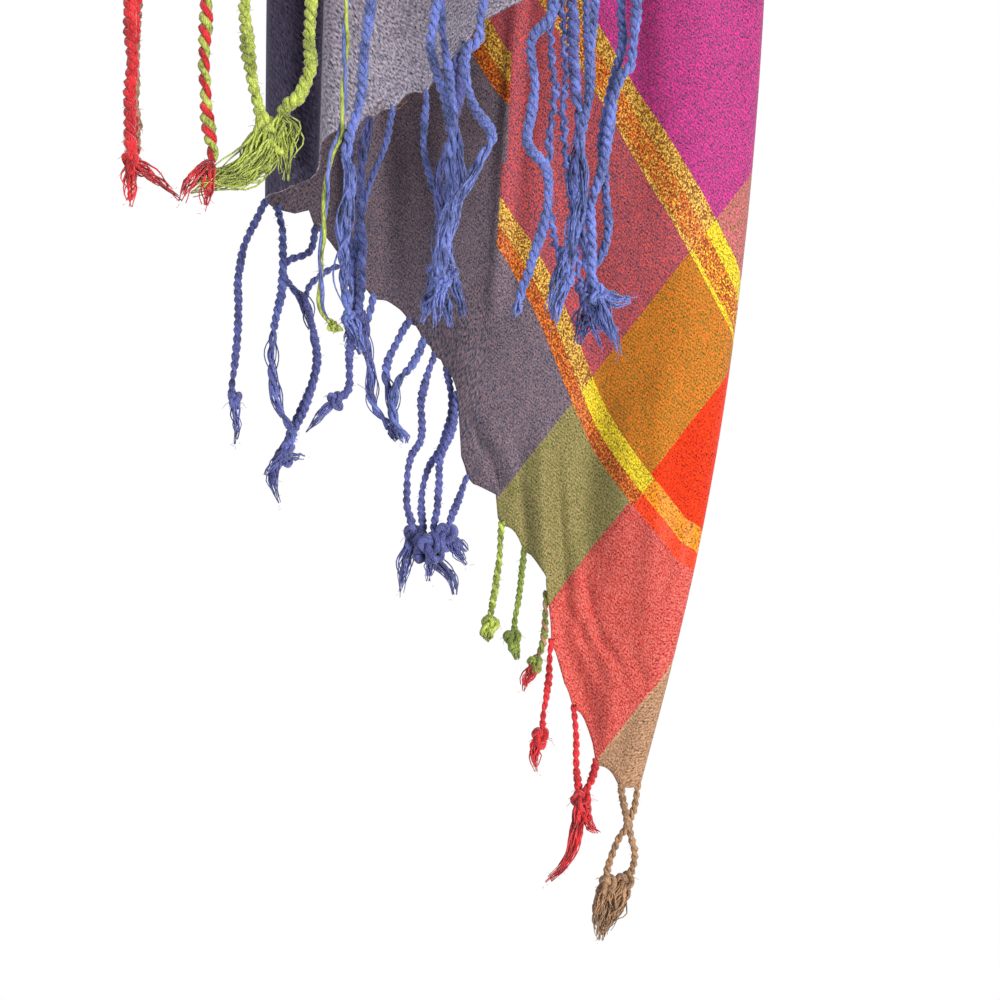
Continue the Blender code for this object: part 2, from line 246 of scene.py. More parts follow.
def bandYarns(finish, u, v, first, second):
    # golden yarns speckled with dark ones, and each colour of warp changes the mixture
    inFirst = first.size() < 1.0
    inSecond = second.size() < 1.0
    bright = inFirst * (first > bandLook["firstBright"])
    bright = bright + inSecond * ((second > bandLook["secondBright"]) + (second < bandLook["secondEdge"]))
    onGreen, onRed = onStripe(u, "green"), onStripe(u, "red")
    chance = flecks(finish, u, v, bandLook["fleck"], 5.0)
    other = flecks(finish, u, v, bandLook["fleck"], 9.0)
    golden = onGreen * bandLook["goldOnGreen"] + onRed * bandLook["goldOnRed"] + bandLook["gold"]
    golden = bright * golden + (1.0 - bright) * inSecond * bandLook["goldBetween"]
    deep = finish.mix(other < bandLook["orange"], bandColours["rust"], bandColours["orange"])
    dark = finish.mix(bright, deep, bandColours["brown"])
    gold = finish.mix(onGreen, bandColours["gold"], bandColours["yellow"])
    gold = finish.mix(onRed, gold, bandColours["amber"])
    band = finish.mix(((golden - chance) * bandLook["sharpness"] + 0.5).clamped(), dark, gold)
    reddened = onRed * (bandLook["red"] - bright * bandLook["redFade"])
    return finish.mix(reddened, band, bandColours["red"]), (inFirst + inSecond).least(1.0)


def wovenFinish(name, tint=None):
    # warp and weft yarns cross in a fine irregular weave, and each block mixes its two colours
    finish = Finish(name, weave["roughness"], weave["sheen"], weave["sheenTint"])
    flat = finish.node("ShaderNodeUVMap", uv_map="flat")
    split = finish.node("ShaderNodeSeparateXYZ", {0: flat})
    u = split * (1 / mm)
    v = Wire(finish, split.socket.node.outputs[1]) * (1 / mm)
    half = cutCloth["length"] / 2
    along = (half - (v - half).size()).most(0.0) % check["repeat"]
    first = bandPlace(u, along, firstBand)
    second = bandPlace(u, along, secondBand)
    warpStops = [(start / cutCloth["width"], warps[key]) for key, start in warpStripes]
    warp = finish.node("ShaderNodeValToRGB", {0: u / cutCloth["width"]}, stops=warpStops)
    weft = finish.mix(first > 0, wefts["beige"], wefts["orange"])
    weft = finish.mix(second > 0, weft, wefts["magenta"])
    fleck = flecks(finish, u, v, weave["yarn"], 0.0)
    cloud = finish.grain(flat, weave["grain"], 2.0)
    otherCloud = finish.grain(flat, weave["grain"] * weave["otherGrain"], 1.0)
    share = (fleck - 0.5) * weave["shareFleck"] + (cloud - 0.5) * weave["shareCloud"]
    share = share + check["weftShare"] + (second > 0) * onStripe(u, "blue") * check["denseWeft"]
    woven = finish.mix(share.clamped(), warp, weft)
    band, inBand = bandYarns(finish, u, v, first, second)
    colour = finish.mix(inBand, woven, band)
    if tint:
        colour = finish.mix(tint["share"], colour, tint["colour"])
    exposure = check["exposure"] * (tint["exposure"] if tint else 1.0)
    patches = finish.grain(flat, weave["patches"])
    rib = (v + u * weave["ribSlope"]) * (2 * math.pi / weave["rib"]) + cloud * weave["ribWander"]
    light = 1 + rib.sine() * weave["ribLight"] + (fleck - 0.5) * weave["lightFleck"]
    light = light + (otherCloud - 0.5) * weave["lightCloud"] + (patches - 0.5) * weave["lightPatch"]
    shade = light * exposure * (1 + onStripe(u, "red") * (first < 0) * check["redLift"])
    grey = finish.node("ShaderNodeCombineColor", {0: shade, 1: shade, 2: shade})
    finish.paint("Base Color", finish.mix(1.0, colour, grey, "MULTIPLY"))
    finish.paint("Roughness", weave["roughness"] - inBand * weave["bandSmoothness"])
    finish.raise_(cloud + fleck * weave["fleckRelief"], weave["relief"] * mm, weave["reliefStrength"])
    return finish.material


yarnColours = dict(
    blue=(0.15, 0.19, 0.50),
    indigo=(0.115, 0.125, 0.36),
    green=(0.46, 0.53, 0.09),
    olive=(0.26, 0.33, 0.05),
    red=(0.85, 0.025, 0.03),
    tan=(0.40, 0.22, 0.11),
)
# deep and bright scale each yarn colour for the streaks' painted crevice shade and painted highlights
yarnLook = dict(
    roughness=0.65, sheen=0.5, streak=0.16, deep=0.22, bright=1.55,
    fine=3200.0, fineLight=2.2, broad=170.0, broadLight=1.6, relief=0.3, reliefStrength=0.8,
)


def yarnFinish(key):
    # streaks along the hanging fibres: their own uneven tone, with painted highlights and painted shade in
    # the crevices, at random along them
    finish = Finish(key + "Yarn", yarnLook["roughness"], yarnLook["sheen"])
    place = finish.place()
    streak = (1, 1, yarnLook["streak"])
    stretched = finish.node("ShaderNodeVectorMath", {0: place, 1: streak}, operation="MULTIPLY")
    fine = finish.grain(stretched, yarnLook["fine"], 2.0)
    broad = finish.grain(place, yarnLook["broad"])
    # the darkest tone is painted crevice shade and the lightest a painted highlight
    deep = [channel * yarnLook["deep"] for channel in yarnColours[key]]
    bright = [min(channel * yarnLook["bright"], 1.0) for channel in yarnColours[key]]
    light = (fine - 0.5) * yarnLook["fineLight"] + (broad - 0.5) * yarnLook["broadLight"] + 0.5
    finish.paint("Base Color", finish.mix(light.clamped(), deep, bright))
    finish.raise_(fine, yarnLook["relief"] * mm, yarnLook["reliefStrength"])
    return finish.material


# Folds from front to back, as in the solids, in mm: the side where each turns, where its foot meets the
# cloth's edge, its swell, the depth of the layer that follows, and the same foot on the flat cloth
drape = dict(
    neckDrop=45, neckHalfWidth=12, neckPitch=2.2, depthDrop=1180, turnShare=0.9, turnReach=12, hemFade=80,
    waveDepth=10, waveHalfWidth=100, waveSpread=0.9,
    waveTurns=4.1, wavePhase=0.7, rippleShare=0.35, rippleTurns=9.3, ripplePhase=2.1,
    stepDepth=24, stepPlace=-0.44, stepWidth=0.02, stepShare=0.58, stepBack=85, stepFade=70,
    tiltPlace=-0.05,
    tuckDepth=24, tuckPlace=-0.46, tuckWidth=0.014, tuckFrom=55, tuckTo=75,
)
folds = (
    dict(side=-1, x=-92, drop=1174, swell=-6, depth=-90, cut=(700, 0)),
    dict(side=1, x=60, drop=1166, swell=14, depth=-55, cut=(450, 0)),
    dict(side=-1, x=-70, drop=1220, swell=-8, depth=0, cut=(262, 0), rise=(0.647, 0.558)),
    dict(side=1, x=65, drop=1430, swell=64, depth=15, cut=(0, 0), rise=(0.534, 0.682)),
    dict(side=-1, x=-70, drop=1144, swell=-12, depth=25, cut=(0, 362)),
    dict(side=1, x=86, drop=986, swell=10, depth=33, cut=(0, 550)),
    dict(side=-1, x=-72, drop=866, swell=-8, depth=41, cut=(0, 750)),
    dict(side=1, x=76, drop=790, swell=8, depth=49, cut=(0, 950)),
    dict(side=-1, x=-66, drop=766, swell=-8, depth=57, cut=(0, 1150)),
    dict(side=1, x=72, drop=800, swell=8, depth=65, cut=(0, 1350)),
    dict(side=-1, x=-78, drop=890, swell=-10, depth=74, cut=(0, 1550)),
    dict(side=1, x=50, drop=1060, swell=26, depth=85, cut=(0, 1800)),
    dict(side=-1, x=-74, drop=915, swell=-8, depth=95, cut=(200, 1800)),
    dict(side=1, x=56, drop=797, swell=12, depth=105, cut=(420, 1800)),
    dict(side=-1, x=-62, drop=690, swell=-6, depth=105, cut=(700, 1800)),
)
lastLayer = len(folds) - 2
longTail = (0, 4)
middle = (4, 11)
shortTail = (11, 14)
seam = 0.8 * mm

# Hems that don't run straight from fold to fold: share of the layer from its first fold, and drop
hems = {
    1: ((0, 1166), (0.191, 1173), (0.381, 1181), (0.461, 1190), (0.541, 1198), (0.603, 1199), (0.697, 1203),
        (0.771, 1207), (1, 1220)),
    2: ((0, 1220), (0.016, 1225), (0.075, 1237), (0.137, 1249), (0.192, 1254), (0.249, 1260), (0.31, 1272),
        (0.354, 1280), (0.385, 1288), (0.396, 1300), (0.409, 1314), (0.448, 1324), (0.508, 1328),
        (0.52, 1335), (0.587, 1344), (0.666, 1357), (0.685, 1367), (0.719, 1382), (0.771, 1396),
        (0.85, 1409), (0.918, 1423), (0.989, 1429), (1, 1430)),
}


def blend(a, b, share):
    return a + (b - a) * share


def held(value):
    return min(max(value, 0), 1)


def eased(value):
    value = held(value)
    return value * value * (3 - 2 * value)


def stepped(value, place, width):
    # 1 below the place and 0 above it, with a soft step between
    return 1 / (1 + math.exp((value - place) / width))


def foldSide(fold, drop):
    row = folds[fold]
    neck = drape["neckDrop"] * mm
    span = min((drop - neck) / (row["drop"] * mm - neck), 1.0)
    line = blend(row["side"] * drape["neckHalfWidth"], row["x"], span)
    return (line + row["swell"] * math.sin(math.pi * span * span)) * mm


def fanOut(drop):
    return (drop / mm - drape["neckDrop"]) / (drape["depthDrop"] - drape["neckDrop"])


def layerDepth(layer, drop):
    layer = max(0, min(layer, lastLayer))
    atNeck = (layer - lastLayer / 2) * drape["neckPitch"]
    return blend(atNeck, folds[layer]["depth"], fanOut(drop)) * mm


def wave(x, depth, drop):
    # flutes that every layer shares, and the step back at the front layers' left
    fan = fanOut(drop)
    spread = max(fan, 0) ** drape["waveSpread"]
    across = x / mm / blend(drape["neckHalfWidth"], drape["waveHalfWidth"], spread)
    ripple = math.cos(drape["waveTurns"] * across + drape["wavePhase"])
    ripple += drape["rippleShare"] * math.cos(drape["rippleTurns"] * across + drape["ripplePhase"])
    tilt = eased((drape["tiltPlace"] - across) / (drape["tiltPlace"] - drape["stepPlace"]))
    step = drape["stepDepth"] * blend(tilt, stepped(across, drape["stepPlace"], drape["stepWidth"]),
                                      drape["stepShare"])
    level = depth / mm / max(fan, 0.01)
    front = held((drape["stepBack"] - level) / drape["stepFade"])
    tuck = 0
    if level > -drape["tuckTo"]:
        tuck = drape["tuckDepth"] * held(-level / drape["tuckFrom"])
        tuck *= stepped(across, drape["tuckPlace"], drape["tuckWidth"])
    return fan * (drape["waveDepth"] * ripple + step * front + tuck) * mm


def placed(x, depth, drop):
    return Vector((x, depth + wave(x, depth, drop), -drop))


def turnRadii(fold, drop):
    half = (layerDepth(fold, drop) - layerDepth(fold - 1, drop)) / 2
    return half, min(drape["turnShare"] * half, drape["turnReach"] * mm)


def runEnd(fold, drop):
    free = fold in (0, len(folds) - 1)
    reach = 0 if free else turnRadii(fold, drop)[1]
    return foldSide(fold, drop) - folds[fold]["side"] * reach


def onLayer(layer, share, drop):
    x = blend(runEnd(layer, drop), runEnd(layer + 1, drop), share)
    return placed(x, layerDepth(layer, drop), drop)


def onTurn(fold, angle, drop, slip=0.0):
    half, reach = turnRadii(fold, drop)
    centre = layerDepth(fold - 1, drop) + half
    x = runEnd(fold, drop) + folds[fold]["side"] * reach * math.cos(angle)
    return placed(x, centre + half * math.sin(angle) + slip, drop)


def hemDrop(layer, share):
    ends = ((0, folds[layer]["drop"]), (1, folds[layer + 1]["drop"]))
    table = hems.get(layer, ends)
    for (low, lowDrop), (high, highDrop) in zip(table, table[1:]):
        if share <= high:
            return blend(lowDrop, highDrop, max(share - low, 0) / (high - low)) * mm
    return table[-1][1] * mm


def hemPoint(layer, share):
    # shares below 0 and above 1 go round the turns on either side, as far as their outermost line
    if share < 0:
        return onTurn(layer, (1 + share) * math.pi / 2, folds[layer]["drop"] * mm)
    if share > 1:
        return onTurn(layer + 1, (share - 2) * math.pi / 2, folds[layer + 1]["drop"] * mm)
    return onLayer(layer, share, hemDrop(layer, share))


def quarterTurn(fold, drop):
    if fold in (0, len(folds) - 1):
        return 0.0
    half, reach = turnRadii(fold, drop)
    return math.pi / 2 * math.sqrt((half * half + reach * reach) / 2)


def cutAtFold(fold, drop):
    # where the fold's line lies on the flat cloth: it curves from its foot up to the held point
    row = folds[fold]
    foot = Vector(row["cut"])
    hold = Vector((cutCloth["holdU"], cutCloth["holdV"]))
    whole = row["drop"]
    height = whole - drop / mm
    rise = Vector(row["rise"]) if "rise" in row else (hold - foot) / whole
    bend = (hold - foot - rise * whole) / (whole * whole)
    return foot + rise * height + bend * height * height


def cutAt(layer, turned, share, drop, hem):
    # turned counts quarter turns off the layer: negative round its first fold, positive round its last
    def rough(level):
        first = quarterTurn(layer, level)
        last = quarterTurn(layer + 1, level)
        run = abs(runEnd(layer + 1, level) - runEnd(layer, level))
        if turned < 0:
            along = first * (1 + turned)
        elif turned > 0:
            along = first + run + last * turned
        else:
            along = first + run * share
        return cutAtFold(layer, level).lerp(cutAtFold(layer + 1, level), along / (first + run + last))

    cut = rough(drop)
    edge = rough(hem)
    fade = math.exp(-(hem - drop) / (drape["hemFade"] * mm))
    if layer < longTail[1] - 1:
        cut.y -= edge.y * fade
    elif layer < shortTail[0]:
        cut.x -= edge.x * fade
    else:
        cut.y += (cutCloth["length"] - edge.y) * fade
    return cut


# Creases of the broad layer as the camera sees them, in mm: two ends, half width, and depth away from it
broadCreases = (
    dict(start=(58, 1090), end=(66, 1212), width=8, depth=3.7),
    dict(start=(92, 1100), end=(86, 1240), width=9, depth=-2.7),
    dict(start=(20.5, 1150), end=(13, 1246), width=2.2, depth=-3.1),
    dict(start=(26, 1140), end=(19, 1250), width=4, depth=2.0),
    dict(start=(5, 1303), end=(18, 1326), width=1.5, depth=2.2),
    dict(start=(8, 1298), end=(24, 1322), width=3.0, depth=-1.7),
    dict(start=(21, 1310), end=(25, 1352), width=2.2, depth=2.2),
    dict(start=(29, 1306), end=(31, 1358), width=2.6, depth=-2.2),
    dict(start=(35, 1316), end=(38, 1366), width=2.4, depth=2.4),
    dict(start=(43, 1346), end=(41, 1380), width=2.6, depth=-1.4),
    dict(start=(45, 1356), end=(51, 1380), width=1.4, depth=2.0),
    dict(start=(50, 1377), end=(60, 1391), width=1.4, depth=1.9),
    dict(start=(40, 1368), end=(51, 1391), width=1.6, depth=2.2),
    dict(start=(61, 1382), end=(68, 1396), width=1.5, depth=2.0),
    dict(start=(36, 1372), end=(48, 1412), width=5.0, depth=4.1),
    dict(start=(55, 1392), end=(52, 1420), width=4.0, depth=-1.6),
    dict(start=(-30, 1180), end=(-26, 1262), width=7.0, depth=4.4),
    dict(start=(-8, 1200), end=(2, 1290), width=6.0, depth=-2.7),
    dict(start=(40, 1215), end=(52, 1300), width=8.0, depth=2.0),
    dict(start=(72, 1290), end=(68, 1370), width=5.0, depth=-2.2),
    dict(start=(27, 1318), end=(31, 1372), width=6.0, depth=-2.2),
    dict(start=(48, 1296), end=(44, 1350), width=6.5, depth=3.2),
    dict(start=(61, 1300), end=(57, 1356), width=7.0, depth=-2.4),
)
broadPleat = dict(x=20.5, drop=1154, footX=12.5, footDrop=1246, endDrop=1330, hidden=36)
softness = dict(rumple=1.3, rumpleSize=34, ripple=0.35, rippleSize=9)
hiddenCreases = dict(
    perLayer=9, place=(0.2, 0.8), top=(0.35, 0.85), width=(3.0, 9.0), depth=(1.0, 2.6), length=(90, 320),
    lean=0.08, layerWidth=130,
)
# how far a crease runs on past its two ends and beside them, and how slowly it dies away there
creaseFade = dict(past=0.2, beside=3, slowness=0.7)


def randomCreases(layer):
    # the hidden layers' creases run down the cloth, uneven in length, depth and spacing
    draw = random.Random(400 + layer)
    low = min(folds[layer]["drop"], folds[layer + 1]["drop"])
    rows = []
    for index in range(hiddenCreases["perLayer"]):
        share = (index + draw.uniform(*hiddenCreases["place"])) / hiddenCreases["perLayer"]
        top = draw.uniform(*hiddenCreases["top"]) * low
        length = draw.uniform(*hiddenCreases["length"])
        deep = draw.uniform(*hiddenCreases["depth"]) * draw.choice((-1, 1))
        lean = draw.uniform(-hiddenCreases["lean"], hiddenCreases["lean"])
        width = draw.uniform(*hiddenCreases["width"])
        rows.append(dict(share=share, top=top, length=length, lean=lean, width=width, depth=deep))
    return rows


hiddenRows = {layer: randomCreases(layer) for layer in range(lastLayer + 1) if layer != 2}


def alongCrease(x, drop, crease):
    (x0, d0), (x1, d1) = crease["start"], crease["end"]
    length = math.hypot(x1 - x0, d1 - d0)
    along = ((x - x0) * (x1 - x0) + (drop - d0) * (d1 - d0)) / (length * length)
    past = creaseFade["past"]
    if not -past < along < 1 + past:
        return 0.0
    off = ((x - x0) * (d1 - d0) - (drop - d0) * (x1 - x0)) / length
    across = off / crease["width"]
    if abs(across) > creaseFade["beside"]:
        return 0.0
    taper = math.sin(math.pi * (along + past) / (1 + 2 * past)) ** creaseFade["slowness"]
    return crease["depth"] * math.exp(-across * across) * taper


def softened(point, layer, share, drop, cut):
    # moves a point by the creases and the cloth's own unevenness
    fan = max(fanOut(drop), 0.0)
    push = 0.0
    if layer == 2:
        x, level = seen(point)
        for crease in broadCreases:
            push += alongCrease(x / mm, level / mm, crease)
    else:
        for row in hiddenRows[layer]:
            along = (drop / mm - row["top"]) / row["length"]
            if 0 < along < 1:
                across = share - row["share"] - row["lean"] * along
                across *= hiddenCreases["layerWidth"] / row["width"]
                push += row["depth"] * math.exp(-across * across) * math.sin(math.pi * along)
    spot = Vector((cut.x, cut.y, 0)) / softness["rumpleSize"]
    push += softness["rumple"] * noise.noise(spot)
    spot = Vector((cut.x, cut.y, 7)) / softness["rippleSize"]
    push += softness["ripple"] * noise.noise(spot)
    point.y += push * mm * min(fan, 1.0)
    return point


def leftOfPleat(point):
    x, level = seen(point)
    along = (level / mm - broadPleat["drop"]) / (broadPleat["footDrop"] - broadPleat["drop"])
    return x / mm < blend(broadPleat["x"], broadPleat["footX"], along)


def pleatShift(point):
    # the broad layer's soft pleat hides a little of the pattern on its left
    level = seen(point)[1] / mm
    fade = (broadPleat["endDrop"] - level) / (broadPleat["endDrop"] - broadPleat["footDrop"])
    return broadPleat["hidden"] * mm * eased(fade)


# Where the warp and the weft of the broad layer's front lie in the photo: a point of the cut cloth's edge
# as the camera sees it, and the slopes of the two yarns there
frontCut = dict(
    x=65, drop=1430, warpSlope=math.radians(38), weftSlope=math.radians(30), fullDrop=1120, fromDrop=1000,
)


def cutInFront(point):
    x, level = seen(point)
    side = x / mm - frontCut["x"]
    height = frontCut["drop"] - level / mm
    warp, weft = frontCut["warpSlope"], frontCut["weftSlope"]
    whole = math.sin(warp + weft)
    return Vector((
        (height * math.sin(warp) - side * math.cos(warp)) / whole,
        (height * math.sin(weft) + side * math.cos(weft)) / whole,
    ))


def frontShift(share, drop):
    # how far the photo's pattern departs from the folds' own, on the broad layer
    strength = (drop / mm - frontCut["fromDrop"]) / (frontCut["fullDrop"] - frontCut["fromDrop"])
    if strength <= 0:
        return Vector((0, 0))
    plain = cutAt(2, 0, share, drop, max(hemDrop(2, share), drop))
    return (cutInFront(onLayer(2, share, drop)) - plain) * eased(strength)


def onCut(line, drop):
    # a line's place on the flat cloth at this drop
    layer, turned, share = line["layer"], line["turned"], line["share"]
    cut = cutAt(layer, turned, share, drop, line["hem"])
    if layer == 2:
        cut += frontShift(share, drop)
    elif layer == 3 and share < 0.5:
        cut += frontShift(1, drop) * (1 - 2 * share)
    elif layer == 1 and share > 0.5:
        cut += frontShift(0, drop) * (2 * share - 1)
    return cut


def clothLines(first, last, perLayer, turnSteps):
    # lines down the cloth: layer, quarter turns off it, share across it, angle round a fold
    lines = []
    if first > 0:
        lines += turnLines(first, 0, math.pi / 2, turnSteps // 2 + 1, seam / 2)
    for layer in range(first, last):
        count = perLayer[layer - first]
        shares = {k / count for k in range(count + 1)}
        shares |= {share for share, _ in hems.get(layer, ())}
        for share in sorted(shares):
            lines.append(dict(layer=layer, turned=0, share=share, hem=hemDrop(layer, share)))
        if layer + 1 < last:
            lines += turnLines(layer + 1, -math.pi / 2, math.pi / 2, turnSteps, 0)
    if last < len(folds) - 1:
        lines += turnLines(last, -math.pi / 2, 0, turnSteps // 2 + 1, -seam / 2)
    return lines


def turnLines(fold, start, end, steps, slip):
    angles = [blend(start, end, k / steps) for k in range(steps + 1)]
    angles = angles[1:-1] if slip == 0 else angles[:-1] if slip > 0 else angles[1:]
    lines = []
    for angle in angles:
        quarters = angle / (math.pi / 2)
        layer = fold if slip > 0 or (slip == 0 and quarters >= 0) else fold - 1
        turned = quarters - 1 if layer == fold else quarters + 1
        slipped = slip if abs(angle) < 0.01 else 0
        share = 0 if layer == fold else 1
        hem = folds[fold]["drop"] * mm
        lines.append(dict(layer=layer, turned=turned, share=share, hem=hem,
                          fold=fold, angle=angle, slip=slipped))
    return lines


clothWall = 0.6 * mm
hemLook = dict(scallop=2.2, reach=3.2)


def scalloped(line, roots):
    # between two strands the hem draws up a little
    if line["turned"] or line["layer"] not in roots:
        return line["hem"]
    here = hemPoint(line["layer"], line["share"])
    nearest = min((here - hemPoint(line["layer"], share)).length for share in roots[line["layer"]])
    rise = 1 - math.exp(-((nearest / mm / hemLook["reach"]) ** 2))
    return line["hem"] - hemLook["scallop"] * mm * rise


def makeCloth(name, node, span, perLayer, rowShares, roots, materials, turnSteps=8):
    lines = clothLines(*span, perLayer, turnSteps)
    rows = len(rowShares)
    shape = bmesh.new()
    bmesh.ops.create_grid(shape, x_segments=len(lines) - 1, y_segments=rows - 1, size=0.5)
    uvLayer = shape.loops.layers.uv.new("flat")
    flat, broad, second = {}, {}, {}
    bottoms = [scalloped(line, roots) for line in lines]
    tuckedLeft = drape["tuckPlace"] * drape["waveHalfWidth"] * mm
    for vert in shape.verts:
        index = round((vert.co.x + 0.5) * (len(lines) - 1))
        line = lines[index]
        row = rowShares[round((0.5 - vert.co.y) * (rows - 1))]
        drop = blend(drape["neckDrop"] * mm, bottoms[index], row)
        cut = onCut(line, drop)
        if "fold" in line:
            point = onTurn(line["fold"], line["angle"], drop, line["slip"])
        else:
            point = onLayer(line["layer"], line["share"], drop)
        ease = max(1 - abs(line["turned"]), 0)
        straight = point.y
        softened(point, line["layer"], line["share"], drop, cut)
        point.y = blend(straight, point.y, ease) if line["turned"] else point.y
        vert.co = point
        flat[vert] = cut * mm
        broad[vert] = line["layer"] == 2
        second[vert] = line["layer"] == 1
    for face in shape.faces:
        centre = face.calc_center_median()
        tucked = all(broad[vert] for vert in face.verts) and leftOfPleat(centre)
        # left of the tuck the second layer's front side takes the third finish, a dark blue painted shade
        # for the deep fold there
        if all(second[vert] for vert in face.verts) and centre.x < tuckedLeft:
            face.material_index = 1
        for loop in face.loops:
            loop[uvLayer].uv = flat[loop.vert]
            if tucked:
                loop[uvLayer].uv.y -= pleatShift(loop.vert.co)
    cloth = makePiece(name, shape, materials)
    cloth.data.shade_smooth()
    wall = cloth.modifiers.new("wall", "SOLIDIFY")
    wall.thickness = clothWall
    wall.offset = 0
    wall.material_offset = 1
    return standFor(cloth, node)


def rowsTo(dense, coarse, from_):
    # shares of the way down: coarse rows, then dense ones from the given share to the hem
    upper = [from_ * k / coarse for k in range(coarse)]
    return upper + [blend(from_, 1, k / dense) for k in range(dense + 1)]


# The gathered top: drop and its outline's share of the neck's
topRings = (
    (0, 0.08), (1.2, 0.30), (3.5, 0.52), (8, 0.70), (15, 0.82), (24, 0.90), (34, 0.96), (43, 1.0),
    (47, 1.03),
)
topLook = dict(
    sides=156, width=1.05, margin=1.2, squareness=4, uvReach=4,
    flutes=15, fluteDepth=0.2, wobble=0.35, wobbleRate=0.06, fine=37, finePhase=1.3, fineDepth=0.08,
    flutesAtTop=0.4,
)


def makeTop(materials):
    halfDepth = layerDepth(lastLayer, drape["neckDrop"] * mm) + topLook["margin"] * mm
    shape = bmesh.new()
    bmesh.ops.create_circle(shape, cap_ends=False, segments=topLook["sides"], radius=1)
    uvLayer = shape.loops.layers.uv.new("flat")
    ring = sorted(shape.verts, key=lambda vert: math.atan2(vert.co.y, vert.co.x))
    angles = [math.atan2(vert.co.y, vert.co.x) for vert in ring]
    edges = list(shape.edges)
    flat = {}
    for index, (drop, share) in enumerate(topRings):
        if index:
            grown = bmesh.ops.extrude_edge_only(shape, edges=edges)["geom"]
            edges = [item for item in grown if isinstance(item, bmesh.types.BMEdge)]
            edges = [edge for edge in edges if all(vert in grown for vert in edge.verts)]
            copies = [item for item in grown if isinstance(item, bmesh.types.BMVert)]
            spots = {(round(vert.co.x, 7), round(vert.co.y, 7)): vert for vert in copies}
            ring = [spots[round(vert.co.x, 7), round(vert.co.y, 7)] for vert in ring]
            edges = [edge for edge in edges if edge.is_boundary]
        for vert, angle in zip(ring, angles):
            wobble = topLook["wobble"] * math.sin(2 * angle + drop * topLook["wobbleRate"])
            flute = topLook["fluteDepth"] * (0.5 + 0.5 * math.cos(topLook["flutes"] * angle + wobble))
            fine = topLook["fineDepth"] * math.sin(topLook["fine"] * angle + topLook["finePhase"])
            power = topLook["squareness"]
            square = (abs(math.cos(angle)) ** power + abs(math.sin(angle)) ** power) ** (-1 / power)
            out = square * (1 - (flute + fine) * min(1, blend(topLook["flutesAtTop"], 1, share))) * share
            vert.co = (
                math.cos(angle) * out * drape["neckHalfWidth"] * topLook["width"] * mm,
                math.sin(angle) * out * halfDepth,
                -drop * mm,
            )
            reach = drop + topLook["uvReach"]
            flat[vert] = Vector((
                cutCloth["holdU"] - reach * abs(math.sin(angle / 2)),
                cutCloth["holdV"] + reach * math.cos(angle),
            )) * mm
    for face in shape.faces:
        for loop in face.loops:
            loop[uvLayer].uv = flat[loop.vert]
    rim = [edge for edge in shape.edges if edge.is_boundary]
    rim = [edge for edge in rim if all(abs(vert.co.z) < 0.1 * mm for vert in edge.verts)]
    bmesh.ops.holes_fill(shape, edges=rim)
    bmesh.ops.recalc_face_normals(shape, faces=shape.faces)
    top = makePiece("gatheredTopCloth", shape, materials)
    top.data.shade_smooth()
    wall = top.modifiers.new("wall", "SOLIDIFY")
    wall.thickness = clothWall
    wall.offset = 1
    return standFor(top, "gathered_top")


